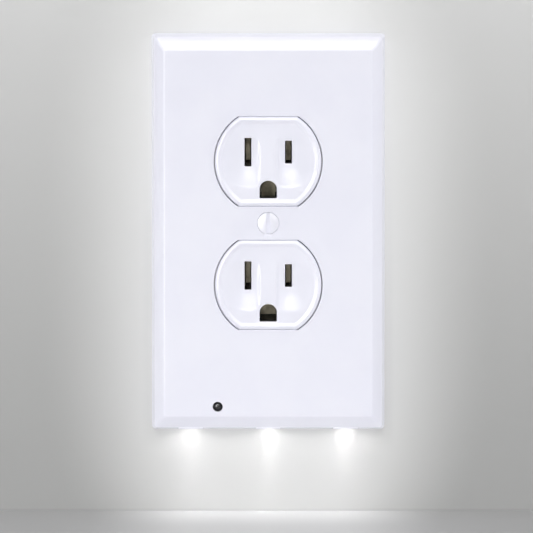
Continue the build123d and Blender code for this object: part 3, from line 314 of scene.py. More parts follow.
def plastic(name, colour, roughness, second=None, drift_scale=60.0, rough_spread=0.03, wave_height=0.002,
            grain_scale=4000.0, grain_height=0.0, **sockets):
    """Moulded plastic: slow drift in colour and gloss, the flow's shallow waves and the mould's grain.

    A second colour that isn't given is a little darker than the first. Heights are in millimetres.
    """
    look = Nodes(name)
    coords = look.add("TexCoord").outputs["Object"]
    drift = look.spread(look.noise(coords, drift_scale, detail=3.0), 0.35, 0.65)
    second = second or (*(0.93 * channel for channel in colour[:3]), 1.0)
    look.shade("Base Color", look.blend(drift, colour, second))
    gloss_drift = look.noise(coords, 2.3 * drift_scale, detail=4.0)
    low, high = roughness - rough_spread, roughness + rough_spread
    look.shade("Roughness", look.spread(gloss_drift, 0.3, 0.7, low, high))
    normal = look.bump(look.noise(coords, 120.0, detail=1.0), wave_height * MM)
    if grain_height:
        normal = look.bump(look.noise(coords, grain_scale, detail=3.0), grain_height * MM, normal=normal)
    look.shade("Normal", normal)
    for key, value in sockets.items():
        look.shade(key.replace("_", " "), value)
    return look.material


def metal(name, colour, roughness, tarnish, drawn=(1.0, 1.0, 1.0), scratch=0.0006, bare=None):
    """Metal with duller, darker patches and fine lines drawn out along one axis.

    With a bare pair of colours, the metal is plated except on the hot terminals' side.
    """
    look = Nodes(name)
    coords = look.add("TexCoord").outputs["Object"]
    patch = look.spread(look.noise(coords, 220.0, detail=4.0, roughness=0.6), 0.42, 0.68)
    shade = look.blend(patch, colour, tarnish)
    if bare:
        side = look.add("SeparateXYZ", {"Vector": coords}).outputs["X"]
        shade = look.blend(look.spread(side, *PLATING_XS), shade, look.blend(patch, *bare))
    look.shade("Base Color", shade)
    stretched = look.add("VectorMath", {0: coords, 1: drawn}, operation="MULTIPLY").outputs[0]
    lines = look.noise(stretched, 2600.0, detail=3.0, roughness=0.65)
    wear = look.math("ADD", look.math("MULTIPLY", lines, 0.6), look.math("MULTIPLY", patch, 0.4))
    look.shade("Roughness", look.spread(wear, 0.2, 0.8, roughness - 0.07, roughness + 0.12))
    look.shade("Metallic", 1.0)
    look.shade("Normal", look.bump(lines, scratch * MM))
    return look.material


def laminate(name):
    """Green solder mask over copper traces that show as raised paler lines."""
    look = Nodes(name)
    coords = look.add("TexCoord").outputs["Object"]
    cells = look.add("TexVoronoi", {"Vector": coords, "Scale": 420.0}, feature="DISTANCE_TO_EDGE",
                     distance="MANHATTAN")
    trace = look.spread(cells.outputs["Distance"], 0.10, 0.16, 1.0, 0.0)
    look.shade("Base Color", look.blend(trace, linear(18, 84, 46), linear(44, 122, 70)))
    look.shade("Roughness", look.spread(look.noise(coords, 700.0), 0.3, 0.7, 0.26, 0.4))
    look.shade("Normal", look.bump(trace, 0.02 * MM))
    return look.material


PLATE_WHITE = linear(235, 235, 245)
FACE_WHITE = linear(236, 236, 246)
BRASS = linear(222, 184, 104)
BRASS_DULL = linear(190, 148, 78)
STEEL = linear(198, 198, 196)
STEEL_DULL = linear(180, 180, 178)
TINNED = linear(208, 200, 178)
TINNED_DULL = linear(184, 176, 154)

FINISHES = {material.name: material for material in (
    plastic("cover_plastic", PLATE_WHITE, 0.15, second=linear(233, 233, 244)),
    plastic("cover_back_plastic", linear(228, 228, 232), 0.48, second=linear(220, 220, 225),
            rough_spread=0.06, grain_height=0.012),
    metal("case_screw_steel", STEEL, 0.32, STEEL_DULL),
    laminate("board_laminate"),
    plastic("led_package_white", linear(240, 240, 236), 0.4, drift_scale=500.0),
    plastic("led_phosphor", linear(240, 230, 140), 0.5, drift_scale=900.0,
            Emission_Color=(1.0, 0.98, 0.9, 1.0), Emission_Strength=1.0),
    # painted glow: the clear lens's own emission stands in for the LED light shining through it
    plastic("lens_clear", linear(246, 248, 252), 0.1, drift_scale=400.0,
            Transmission_Weight=0.75, IOR=1.49, Emission_Color=(1.0, 1.0, 1.0, 1.0), Emission_Strength=0.3),
    plastic("sensor_resin", linear(22, 22, 24), 0.16, second=linear(30, 30, 32), drift_scale=900.0),
    plastic("chip_epoxy", linear(34, 34, 36), 0.5, drift_scale=900.0, grain_height=0.006),
    plastic("capacitor_epoxy", linear(196, 152, 40), 0.4, drift_scale=600.0),
    plastic("resistor_ceramic", linear(42, 42, 44), 0.42, drift_scale=900.0),
    metal("conductor_brass", BRASS, 0.3, BRASS_DULL, drawn=(1.0, 1.0, 0.1)),
    plastic("arm_plastic", linear(226, 226, 230), 0.4, second=linear(218, 218, 223), rough_spread=0.05,
            grain_height=0.006),
    metal("prong_brass", BRASS, 0.26, BRASS_DULL, drawn=(1.0, 0.1, 1.0)),
    plastic("cover_screw_white", FACE_WHITE, 0.24, second=linear(232, 232, 240), drift_scale=300.0),
    plastic("face_plastic", FACE_WHITE, 0.16, second=linear(234, 234, 245)),
    plastic("body_thermoset", linear(72, 71, 65), 0.46, second=linear(66, 65, 60),
            drift_scale=300.0, rough_spread=0.06, grain_height=0.008),
    metal("strap_steel", STEEL, 0.36, STEEL_DULL, drawn=(1.0, 1.0, 0.06), scratch=0.001),
    metal("contact_brass", TINNED, 0.52, TINNED_DULL, drawn=(1.0, 1.0, 0.1), bare=(BRASS, BRASS_DULL)),
    metal("hot_screw_brass", BRASS, 0.24, BRASS_DULL),
    metal("neutral_screw_nickel", linear(208, 206, 200), 0.24, STEEL_DULL),
    plastic("ground_screw_green", linear(34, 118, 60), 0.28, second=linear(26, 98, 50),
            drift_scale=400.0, Metallic=0.4),
    metal("box_screw_steel", STEEL, 0.3, STEEL_DULL),
    plastic("retainer_fibre", linear(134, 98, 68), 0.8, second=linear(112, 80, 54),
            drift_scale=1500.0, grain_height=0.03),
    metal("rivet_steel", STEEL, 0.34, STEEL_DULL),
)}
# painted shade: the dark finish of the slots' deeper walls
SLOT_SHADE = plastic("slot_shade", linear(44, 44, 41), 0.6, drift_scale=300.0, grain_height=0.006)


# ---- mesh building
class Shape:
    """Points in millimetres and faces, with a material number for each face."""

    def __init__(self):
        self.points = []
        self.faces = []
        self.marks = []

    def loop(self, points):
        first = len(self.points)
        self.points.extend(tuple(p) for p in points)
        return list(range(first, first + len(points)))

    def face(self, indices, mark=0):
        self.faces.append(tuple(indices))
        self.marks.append(mark)

    def strip(self, row, next_row, mark=0):
        """Four-sided faces between two closed rows of points."""
        for i in range(len(row)):
            j = (i + 1) % len(row)
            self.face((row[i], row[j], next_row[j], next_row[i]), mark)

    def loft(self, loops):
        rows = [self.loop(points) for points in loops]
        for row, next_row in zip(rows, rows[1:]):
            self.strip(row, next_row)
        return rows

    def tube(self, loops):
        """Rings joined into a closed solid with flat ends."""
        rows = self.loft(loops)
        self.face(rows[0][::-1])
        self.face(rows[-1])

    def box(self, x0, x1, y0, y1, z0, z1):
        ring = [(x0, z0), (x1, z0), (x1, z1), (x0, z1)]
        self.tube([at_depth(ring, y) for y in (y0, y1)])

    def rod(self, radius, y0, y1, x, z):
        ring = ring_loop(x, z, radius, 32)
        self.tube([at_depth(ring, y) for y in (y0, y1)])

    def turned(self, origin, outward, upward):
        """The same shape with its Y axis along outward and its Z axis along upward."""
        out, up = Vector(outward), Vector(upward)
        side = out.cross(up)
        self.points = [tuple(Vector(origin) + side * x + out * y + up * z) for x, y, z in self.points]
        return self


def circle(radius, count):
    turns = [2 * math.pi * i / count for i in range(count)]
    return [(radius * math.cos(turn), radius * math.sin(turn)) for turn in turns]


def rounded_line(points, radii, steps=6):
    """A line of corners in two dimensions, each inner corner rounded by its radius."""
    out = [tuple(points[0])]
    for before, corner, after, radius in zip(points, points[1:], points[2:], radii):
        middle = Vector(corner)
        back = (Vector(before) - middle).normalized()
        onward = (Vector(after) - middle).normalized()
        half = back.angle(onward) / 2
        centre = middle + (back + onward).normalized() * (radius / math.sin(half))
        reach = radius / math.tan(half)
        start, end = middle + back * reach - centre, middle + onward * reach - centre
        turn = start.angle(end)
        for i in range(steps + 1):
            share = i / steps
            spoke = start * math.sin((1 - share) * turn) + end * math.sin(share * turn)
            out.append(tuple(centre + spoke / math.sin(turn)))
    out.append(tuple(points[-1]))
    return out


def smooth_step(value, low, high):
    share = min(max((value - low) / (high - low), 0.0), 1.0)
    return share * share * (3 - 2 * share)


def add_object(name, data):
    obj = bpy.data.objects.new(name, data)
    bpy.context.scene.collection.objects.link(obj)
    return obj


def mesh_object(name, shape, materials):
    """An object from a shape, with outward normals and smooth shading."""
    mesh = bpy.data.meshes.new(name)
    mesh.from_pydata([tuple(c * MM for c in p) for p in shape.points], [], shape.faces)
    for material in materials:
        mesh.materials.append(material)
    mesh.polygons.foreach_set("material_index", shape.marks)
    editable = bmesh.new()
    editable.from_mesh(mesh)
    bmesh.ops.remove_doubles(editable, verts=editable.verts, dist=1e-7)
    bmesh.ops.recalc_face_normals(editable, faces=editable.faces)
    editable.to_mesh(mesh)
    editable.free()
    obj = add_object(name, mesh)
    soften(mesh)
    return obj


def soften(mesh):
    mesh.shade_smooth()
    mesh.set_sharp_from_angle(angle=math.radians(SMOOTH_ANGLE))


def apply_modifiers(obj):
    """The object's mesh becomes what its modifiers make of it."""
    bpy.context.view_layer.update()
    evaluated = obj.evaluated_get(bpy.context.evaluated_depsgraph_get())
    mesh = bpy.data.meshes.new_from_object(evaluated)
    obj.modifiers.clear()
    obj.data = mesh


def cut(obj, shape):
    """Takes a closed shape away from an object."""
    cutter = mesh_object("cutter", shape, list(obj.data.materials))
    modifier = obj.modifiers.new("cut", "BOOLEAN")
    modifier.operation = "DIFFERENCE"
    modifier.solver = "EXACT"
    modifier.use_self = True
    modifier.object = cutter
    apply_modifiers(obj)
    bpy.data.objects.remove(cutter)
    soften(obj.data)


def ease_edges(obj, width, angle=40.0):
    """Rounds an object's hard edges, by a width in millimetres, where they turn by more than the angle."""
    bevel = obj.modifiers.new("ease", "BEVEL")
    bevel.width = width * MM
    bevel.segments = 2
    bevel.limit_method = "ANGLE"
    bevel.angle_limit = math.radians(angle)
    bevel.miter_outer = "MITER_ARC"


def even_shading(obj):
    """Flat faces keep their own normals beside rounded edges."""
    modifier = obj.modifiers.new("shading", "WEIGHTED_NORMAL")
    modifier.keep_sharp = True
    modifier.weight = 50


def place(obj, body, slot, *nodes):
    """Puts an object on a body, with even shading, in place of the CAD nodes that it replaces. The slot
    argument is not used.
    """
    even_shading(obj)
    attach(obj, body)
    if nodes:
        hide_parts(*nodes)


def between(loops, places):
    """Which places lie inside the outer loop and outside the others."""
    x, z = places[:, 0], places[:, 1]
    odd = np.zeros(len(places), dtype=bool)
    for loop in loops:
        ends = np.array(loop)
        for (x0, z0), (x1, z1) in zip(ends, np.roll(ends, -1, axis=0)):
            if z0 != z1:
                odd ^= ((z0 > z) != (z1 > z)) & (x < x0 + (x1 - x0) * (z - z0) / (z1 - z0))
    return odd


def fill_plane(shape, loops, y_of, extra=()):
    """Fills the plane between an outer loop of x, z points and the loops inside it with triangles."""
    points, edges = [], []
    for loop in loops:
        first = len(points)
        points.extend(Vector(p) for p in loop)
        edges.extend((first + i, first + (i + 1) % len(loop)) for i in range(len(loop)))
    points.extend(Vector(p) for p in extra)
    verts, _, faces, *_ = delaunay_2d_cdt(points, edges, [], 0, 1e-6)
    flat = np.array([tuple(v) for v in verts])
    middles = np.array([flat[list(face)].mean(axis=0) for face in faces])
    at = shape.loop([(x, y_of(x, z), z) for x, z in flat])
    for face, kept in zip(faces, between(loops, middles)):
        if kept:
            shape.face([at[i] for i in face])


# ---- outlines in x and z
def socket_loop(z, grow, flat_grow=None, per_arc=40, per_flat=14):
    """A circle with a flat top and bottom about the socket's middle, grown by a distance."""
    radius = SOCKET_RADIUS + grow
    half = SOCKET_HALF_HEIGHT + (grow if flat_grow is None else flat_grow)
    half_turn = math.asin(half / radius)
    flat = math.sqrt(radius**2 - half**2)
    points = []
    for start, side in ((0.0, 1), (math.pi, -1)):
        for i in range(per_arc):
            turn = start - half_turn + 2 * half_turn * i / per_arc
            points.append((radius * math.cos(turn), z + radius * math.sin(turn)))
        for i in range(per_flat):
            points.append((side * (flat - 2 * flat * i / per_flat), z + side * half))
    return points


def ring_loop(x, z, radius, count=48):
    return [(x + dx, z + dz) for dx, dz in circle(radius, count)]


def quarter(x, z, radius, start, steps):
    """A quarter of a circle, from a start in degrees."""
    turns = [math.radians(start + 90 * i / steps) for i in range(steps + 1)]
    return [(x + radius * math.cos(turn), z + radius * math.sin(turn)) for turn in turns]


def rounded_loop(x0, x1, z0, z1, radius, per_corner=6):
    """A rectangle with rounded corners."""
    corners = [(x1 - radius, z0 + radius, -90), (x1 - radius, z1 - radius, 0),
               (x0 + radius, z1 - radius, 90), (x0 + radius, z0 + radius, 180)]
    points = []
    for x, z, start in corners:
        points += quarter(x, z, radius, start, per_corner)
    return points


def arch_loop(x, z, radius, foot, corner, per_arc=20, per_corner=4):
    """The ground hole: a half circle over a flat bottom at a distance below the middle."""
    turns = [math.pi * i / per_arc for i in range(per_arc + 1)]
    points = [(x + radius * math.cos(turn), z + radius * math.sin(turn)) for turn in turns]
    for middle, start in ((x - radius + corner, 180), (x + radius - corner, 270)):
        points += quarter(middle, z - foot + corner, corner, start, per_corner)
    return points


def at_depth(loop, y):
    return [(x, y, z) for x, z in loop]


# ---- cover plate
def plate_ring(side, end, radius, steps=6):
    """A loop round the plate; side and end give its inset and depth there."""
    half = PLATE_HALF_WIDTH - side[0] - radius
    low, high = end[0] - PLATE_BOTTOM + radius, PLATE_TOP - end[0] - radius
    points = []
    for corner, (x, z) in enumerate(((half, low), (half, high), (-half, high), (-half, low))):
        for i in range(steps + 1):
            share = i / steps
            turn = math.radians(90 * (corner - 1 + share))
            on_side = share if corner % 2 == 0 else 1 - share
            y = end[1] + (side[1] - end[1]) * on_side
            points.append((x + radius * math.cos(turn), y, z + radius * math.sin(turn)))
    return points


def plate_rings(side_line, end_line, radii):
    """Loops along two lines of inset and depth; the corner radius goes from the first to the second."""
    last = len(side_line) - 1
    return [plate_ring(side, end, radii[0] + (radii[1] - radii[0]) * i / last)
            for i, (side, end) in enumerate(zip(side_line, end_line))]


def outside_line(bevel, crown):
    """Inset and depth from the rear face round the rim to the front; the bevel's middle is crowned."""
    low, high = Vector((RIM_DRAFT, RIM_FRONT)), Vector((bevel, PLATE_FRONT))
    rise, radius = crown
    outward = Vector((PLATE_FRONT - RIM_FRONT, low.x - high.x)).normalized()
    peak = (low + high) / 2 + outward * 2 * rise
    corners = [(SHELL_WALL, 0), (0, 0), low, peak, high, (bevel + LAST_LEG, PLATE_FRONT)]
    return rounded_line(corners, (REAR_ROUND, BEVEL_ROUND, radius, BEVEL_ROUND))[:-1]


def cavity_line(bevel):
    """Inset and depth from the rear face into the cavity."""
    share = (RIM_FRONT - CAVITY_FRONT) / (RIM_FRONT - PLATE_FRONT)
    foot = RIM_DRAFT + (bevel - RIM_DRAFT) * share + SHELL_WALL
    corners = [(SHELL_WALL, 0), (RIM_DRAFT + SHELL_WALL, RIM_FRONT), (foot, CAVITY_FRONT),
               (foot + LAST_LEG, CAVITY_FRONT)]
    return rounded_line(corners, (CAVITY_ROUND, CAVITY_ROUND))[:-1]


def lip_line(gap, flat_gap, radius, back, steps=4):
    """Gap, gap at the flats and depth down an opening's rounded front edge."""
    line = []
    for i in range(steps + 1):
        turn = math.pi / 2 * i / steps
        out = radius * (1 - math.sin(turn))
        line.append((gap + out, flat_gap + out, PLATE_FRONT + radius * (1 - math.cos(turn))))
    return line + [(gap, flat_gap, back)]


def make_plate():
    """The night light's front shell."""
    shape = Shape()
    sides, ends = outside_line(BEVEL_SIDE, SIDE_CROWN), outside_line(BEVEL_END, END_CROWN)
    front = plate_rings(sides, ends, PLATE_CORNERS)
    cavity = plate_rings(cavity_line(BEVEL_SIDE), cavity_line(BEVEL_END), CAVITY_CORNERS)
    cavity[0] = front[0]
    shape.loft(front)
    shape.loft(cavity)
    face_edge = [(x, z) for x, _, z in front[-1]]
    cavity_edge = [(x, z) for x, _, z in cavity[-1]]
    face_loops, cavity_loops = [face_edge], [cavity_edge]
    # socket openings
    for z in SOCKET_ZS:
        line = lip_line(OPENING_GAP, OPENING_FLAT_GAP, OPENING_ROUND, CAVITY_FRONT)
        loops = [socket_loop(z, gap, flat_gap) for gap, flat_gap, _ in line]
        shape.loft([at_depth(loop, y) for loop, (_, _, y) in zip(loops, line)])
        face_loops.append(loops[0])
        cavity_loops.append(loops[-1])
    # the sensor's hole, then the countersunk hole and boss of the cover screw
    lip = lip_line(SENSOR_HOLE_RADIUS, 0, SENSOR_HOLE_ROUND, CAVITY_FRONT)
    sensor_line = [(radius, y) for radius, _, y in lip]
    screw_line = [(SINK_RADIUS - inset, PLATE_FRONT + depth) for inset, depth in SINK_LIP]
    screw_line += [(SCREW_HOLE_RADIUS, SINK_BACK), (SCREW_HOLE_RADIUS, ON_STRAP),
                   (SCREW_BOSS_RADIUS, ON_STRAP), (SCREW_BOSS_RADIUS, CAVITY_FRONT)]
    for x, z, line in ((SENSOR_X, SENSOR_Z, sensor_line), (0, 0, screw_line)):
        shape.loft([at_depth(ring_loop(x, z, radius), y) for radius, y in line])
        face_loops.append(ring_loop(x, z, line[0][0]))
        cavity_loops.append(ring_loop(x, z, line[-1][0]))

    fill_plane(shape, face_loops, lambda x, z: PLATE_FRONT)
    fill_plane(shape, cavity_loops, lambda x, z: CAVITY_FRONT)
    plate = mesh_object("plate_shell", shape, [FINISHES["cover_plastic"]])
    for x in LED_XS:
        slot = Shape()
        slot.box(x - LENS_SLOT_HALF_WIDTH, x + LENS_SLOT_HALF_WIDTH, *LENS_SLOT_YS, *LENS_SLOT_ZS)
        cut(plate, slot)
    ease_edges(plate, width=0.12, angle=55.0)
    apply_modifiers(plate)
    place(plate, "cover", "cover_plastic", "cover_plate")


def side_span(side, near, far):
    """Two distances from the middle as X values, the lower first."""
    return sorted((side * near, side * far))


def make_plate_ribs():
    """Bosses, posts and ribs that stand on the inside of the plate's front."""
    shape = Shape()
    for side in (-1, 1):
        for z in CASE_BOSS_ZS:
            shape.rod(CASE_BOSS_RADIUS, RIB_ROOT, ON_BACK_COVER, side * CASE_BOSS_X, z)
    for side in (-1, 1):
        shape.rod(BOARD_POST_RADIUS, RIB_ROOT, ON_BOARD, side * BOARD_POST_X, BOARD_POST_Z)
        shape.rod(BOARD_PIN_RADIUS, *BOARD_PIN_YS, side * BOARD_POST_X, BOARD_POST_Z)
    for side in (-1, 1):
        for z in HINGE_POST_ZS:
            low, high = z - HINGE_POST_HALF_HEIGHT, z + HINGE_POST_HALF_HEIGHT
            shape.box(*side_span(side, *HINGE_POST_XS), RIB_ROOT, HINGE_POST_BACK, low, high)
            for x in HINGE_CHEEK_XS:
                cheek = side_span(side, x - HINGE_CHEEK_HALF_WIDTH, x + HINGE_CHEEK_HALF_WIDTH)
                shape.box(*cheek, HINGE_CHEEK_FRONT, ON_BACK_COVER, low, high)
        for z in CONDUCTOR_RIB_ZS:
            low, high = z - CONDUCTOR_RIB_HALF_HEIGHT, z + CONDUCTOR_RIB_HALF_HEIGHT
            shape.box(*side_span(side, *CONDUCTOR_RIB_XS), RIB_ROOT, CONDUCTOR_RIB_BACK, low, high)
    ribs = mesh_object("plate_ribs", shape, [FINISHES["cover_plastic"]])
    ease_edges(ribs, width=0.15)
    place(ribs, "cover", "cover_plastic")


# ---- socket face
def face_depth(x, z):
    """The recess floor's depth at a place, z from the socket's middle: two dishes with a ridge between."""
    ball = (DISH_RADIUS**2 + DISH_DEPTH**2) / (2 * DISH_DEPTH)
    away = math.hypot(abs(x) - DISH_OFFSET, z)
    dish = max(0.0, DISH_DEPTH - away**2 / (2 * ball))
    dish = dish**2 / (dish + DISH_EDGE) if dish else 0.0
    edge = min(SOCKET_RADIUS - RECESS_INSET - RECESS_SLOPE - math.hypot(x, z),
               SOCKET_HALF_HEIGHT - RECESS_INSET - RECESS_SLOPE - abs(z))
    ridge = smooth_step(abs(x), *RIDGE_SLOPE)
    return RECESS_FLOOR + dish * ridge * smooth_step(edge, 0.0, DISH_FADE)


def slot_loops(z, grow):
    """Outlines of one socket's blade slots and ground hole."""
    loops = []
    half_width = SLOT_HALF_WIDTH + grow
    for x, half in ((-BLADE_X, NEUTRAL_HALF_HEIGHT + grow), (BLADE_X, HOT_HALF_HEIGHT + grow)):
        middle = z + BLADE_RAISE
        loops.append(rounded_loop(x - half_width, x + half_width, middle - half, middle + half,
                                  SLOT_CORNER + grow))
    loops.append(arch_loop(0, z - GROUND_DROP, GROUND_RADIUS + grow, GROUND_FOOT + grow,
                           GROUND_CORNER + grow))
    return loops


def in_slot(x, z, grow):
    """Whether a place is inside a slot of one socket, z from the socket's middle."""
    up = z - BLADE_RAISE
    for at, half in ((-BLADE_X, NEUTRAL_HALF_HEIGHT), (BLADE_X, HOT_HALF_HEIGHT)):
        if abs(x - at) < SLOT_HALF_WIDTH + grow and abs(up) < half + grow:
            return True
    drop = z + GROUND_DROP
    reach = GROUND_RADIUS + grow
    return abs(x) < reach and -GROUND_FOOT - grow < drop and (drop < 0 or math.hypot(x, drop) < reach)


def make_socket(shape, z):
    """One raised socket: rounded crest, sloped recess, dished floor and lipped slots."""
    foot = -RECESS_INSET - RECESS_SLOPE
    corners = [(0, FACE_BACK), (0, SOCKET_FRONT), (-RECESS_INSET, SOCKET_FRONT), (foot, RECESS_FLOOR),
               (foot - LAST_LEG, RECESS_FLOOR)]
    line = rounded_line(corners, SOCKET_ROUNDS, steps=8)[:-1]
    loops = [at_depth(socket_loop(z, grow), y) for grow, y in line]
    shape.loft(loops)
    floor_edge = [(x, at) for x, _, at in loops[-1]]
    lips = slot_loops(z, SLOT_LIP)
    for number, lip in enumerate(lips):
        rows = []
        for i in range(SLOT_LIP_STEPS + 1):
            turn = math.pi / 2 * i / SLOT_LIP_STEPS
            loop = slot_loops(z, SLOT_LIP * (1 - math.sin(turn)))[number]
            sink = SLOT_LIP * (1 - math.cos(turn))
            rows.append([(x, face_depth(lip_x, lip_z - z) + sink, at)
                         for (x, at), (lip_x, lip_z) in zip(loop, lip)])
        shape.loft(rows)
        first = shape.loop(rows[-1])
        middle = shape.loop([(x, y + SLOT_PALE_DEPTH, at) for x, y, at in rows[-1]])
        last = shape.loop(at_depth(slot_loops(z, 0)[number], FACE_BACK))
        shape.strip(first, middle)
        # the slot's deeper wall takes the painted shade
        shape.strip(middle, last, mark=1)
    # the dished floor follows a grid that is finer at the ridge's sides
    reaches = (0.9, 1.8, *np.arange(2.2, 3.6, RIDGE_GRID_STEP), *np.arange(4.0, 14.5, GRID_STEP))
    across = sorted({side * reach for reach in reaches for side in (-1, 1)} | {0.0})
    inset = line[-1][0] - GRID_MARGIN
    grid = [(x, z + up) for x in across for up in np.arange(-11.6, 11.7, GRID_STEP)
            if math.hypot(x, up) < SOCKET_RADIUS + inset and abs(up) < SOCKET_HALF_HEIGHT + inset
            and not in_slot(x, up, SLOT_LIP + GRID_SLOT_MARGIN)]
    fill_plane(shape, [floor_edge, *lips], lambda x, at: face_depth(x, at - z), extra=grid)
    fill_plane(shape, [[(x, at) for x, _, at in loops[0]], *slot_loops(z, 0)], lambda x, at: FACE_BACK)


def make_socket_face():
    """Both sockets and the flange that the strap's front carries."""
    shape = Shape()
    for z in SOCKET_ZS:
        make_socket(shape, z)
    outline = rounded_loop(-FLANGE_HALF_WIDTH, FLANGE_HALF_WIDTH, -FLANGE_HALF_HEIGHT, FLANGE_HALF_HEIGHT,
                           FLANGE_CORNER)
    holes = [socket_loop(z, -FLANGE_LAP) for z in SOCKET_ZS] + [ring_loop(0, 0, FLANGE_HOLE_RADIUS)]
    for y in (FLANGE_FRONT, ON_STRAP):
        fill_plane(shape, [outline, *holes], lambda x, z, y=y: y)
    for loop in (outline, *holes):
        shape.loft([at_depth(loop, FLANGE_FRONT), at_depth(loop, ON_STRAP)])
    face = mesh_object("outlet_face", shape, [FINISHES["face_plastic"], SLOT_SHADE])
    place(face, "receptacle", "face_plastic", "socket_face")


def make_body_relief():
    """The moulded frame and wire strip gauge on the outlet body's back."""
    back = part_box("receptacle_body")[1][1] / MM
    low, top = back - BODY_FRAME_SUNK, back + BODY_FRAME_HEIGHT
    edge_width, edge_height = BODY_FRAME_EDGE
    shape = Shape()
    for x0, x1, z0, z1, radius, width in BODY_FRAMES:
        side = top - edge_height
        profile = ((0, low), (0, side), (edge_width, top),
                   (width - edge_width, top), (width, side), (width, low))
        outlines = []
        for inset, y in profile:
            loop = rounded_loop(x0 + inset, x1 - inset, z0 + inset, z1 - inset, radius - inset)
            outlines.append(at_depth(loop, y))
        rows = shape.loft(outlines)
        shape.strip(rows[-1], rows[0])
    relief = mesh_object("body_relief", shape, [FINISHES["body_thermoset"]])
    place(relief, "receptacle", "body_thermoset")


# ---- screws
def lathe(shape, line, count=64):
    """A closed solid turned about Y from a line of radius and height."""
    shape.tube([at_depth(circle(radius, count), y) for radius, y in line])


def thread(shape, radius, low, high, pitch=0.8, depth=0.34, crest=1.3, taper=0.3, count=32, per_turn=8):
    """A screw thread about Y, run out to full radius at its upper end.

    Its crests lie at the radius, flat where crest is over 1. It narrows by taper over its lowest pitch.
    """
    rows = []
    steps = int((high - low) / pitch * per_turn)
    for i in range(steps + 1):
        y = low + (high - low) * i / steps
        upper = min((high - y) / pitch, 1.0)
        point = 1 - taper * max(0.0, 1 - (y - low) / pitch)
        ring = []
        for k in range(count):
            ridge = 1 - abs(2 * ((y / pitch - k / count) % 1.0) - 1)
            reach = (radius - depth * upper * (1 - min(1.0, crest * ridge))) * point
            turn = 2 * math.pi * k / count
            ring.append((reach * math.cos(turn), y, reach * math.sin(turn)))
        rows.append(ring)
    shape.tube(rows)


def dome_line(radius, height, foot, steps=10, middle=0.02):
    """Radius and height over a shallow dome on a foot, from its rim to near its middle."""
    ball = (radius**2 + height**2) / (2 * height)
    line = []
    for i in range(steps):
        reach = min(radius * (1 - i / steps) + middle, radius)
        line.append((reach, math.sqrt(ball**2 - reach**2) - ball + height + foot))
    return line


def screw(name, node, slot, shape, groove, origin, outward, upward):
    """A screw from a shape along Y, with a driver slot cut along Z to the groove's height.

    The screw's body has the name of the CAD node that it replaces.
    """
    obj = mesh_object(name, shape.turned(origin, outward, upward), [FINISHES[slot]])
    half_width, depth, half_length = DRIVER_BLADE
    blade = Shape()
    blade.box(-half_width, half_width, groove, groove + depth, -half_length, half_length)
    cut(obj, blade.turned(origin, outward, upward))
    ease_edges(obj, width=0.09, angle=50.0)
    apply_modifiers(obj)
    soften(obj.data)
    place(obj, node, slot, node)


def make_cover_screw():
    """The oval countersunk screw in the middle."""
    shape = Shape()
    cone = (COVER_HEAD_RADIUS - COVER_THREAD_RADIUS) / math.tan(math.radians(SINK_HALF_ANGLE))
    shank = [(COVER_THREAD_RADIUS, -cone - COVER_SHANK), (COVER_THREAD_RADIUS, -cone)]
    rim = [(COVER_HEAD_RADIUS - inset, height) for inset, height in COVER_HEAD_RIM]
    inset, foot = COVER_DOME_FOOT
    lathe(shape, shank + rim + dome_line(COVER_HEAD_RADIUS - inset, COVER_HEAD_DOME, foot))
    thread(shape, COVER_THREAD_RADIUS, PLATE_FRONT - COVER_SCREW_REACH, -cone - COVER_THREAD_START)
    screw("plate_screw", "cover_screw", "cover_screw_white", shape, groove=-0.2,
          origin=(0, PLATE_FRONT, 0), outward=(0, -1, 0), upward=(0, 0, 1))


def make_terminal_screw(name, slot, x, y, z, hexagon=False):
    """A binding screw whose head stands off the side at x, backed out for a wire."""
    shape = Shape()
    if hexagon:
        corners = circle(HEXAGON_CORNER, 6)
        shape.tube([at_depth([(share * a, share * b) for a, b in corners], height)
                    for share, height in HEXAGON_HEAD])
    else:
        lathe(shape, TERMINAL_HEAD)
    thread(shape, *TERMINAL_THREAD)
    screw("binding_" + name, name, slot, shape, groove=1.1,
          origin=(x, y, z), outward=(math.copysign(1, x), 0, 0), upward=(0, 1, 0))


def make_box_screw(name, z):
    """A captive screw through the strap's slot, with an oval head."""
    shape = Shape()
    rim_radius, rim_height = BOX_HEAD[-1]
    lathe(shape, [*BOX_HEAD, *dome_line(rim_radius, BOX_HEAD_DOME, rim_height)[1:]])
    lathe(shape, BOX_NECK, 32)
    thread(shape, *BOX_THREAD)
    screw("fixing_" + name, name, "box_screw_steel", shape, groove=1.0,
          origin=(0, ON_STRAP, z), outward=(0, -1, 0), upward=(0, 0, 1))


def make_screws():
    make_cover_screw()
    for level, z in (("upper", TERMINAL_Z), ("lower", -TERMINAL_Z)):
        make_terminal_screw(level + "_hot_screw", "hot_screw_brass", TERMINAL_X, TERMINAL_Y, z)
        make_terminal_screw(level + "_neutral_screw", "neutral_screw_nickel", -TERMINAL_X, TERMINAL_Y, z)
    make_terminal_screw("ground_screw", "ground_screw_green", *GROUND_SCREW_PLACE, hexagon=True)
    make_box_screw("upper_box_screw", BOX_SCREW_Z)
    make_box_screw("lower_box_screw", -BOX_SCREW_Z)


# ---- camera, stage and lights
def direction(azimuth, elevation):
    """From the object towards a lamp or camera; azimuth 0 is the room side and 90 is +X."""
    turn, rise = math.radians(azimuth), math.radians(elevation)
    return Vector((math.sin(turn) * math.cos(rise), -math.cos(turn) * math.cos(rise), math.sin(rise)))


def make_camera():
    data = bpy.data.cameras.new("camera")
    data.lens = CAMERA_LENS
    data.sensor_width = CAMERA_SENSOR
    data.clip_start = 0.01
    data.clip_end = 20.0
    camera = add_object("camera", data)
    back = direction(0, CAMERA_ELEVATION)
    distance = VIEW_WIDTH * MM * CAMERA_LENS / CAMERA_SENSOR
    camera.location = Vector(VIEW_CENTRE) * MM + back * distance
    camera.rotation_euler = (-back).to_track_quat("-Z", "Y").to_euler()
    bpy.context.scene.camera = camera


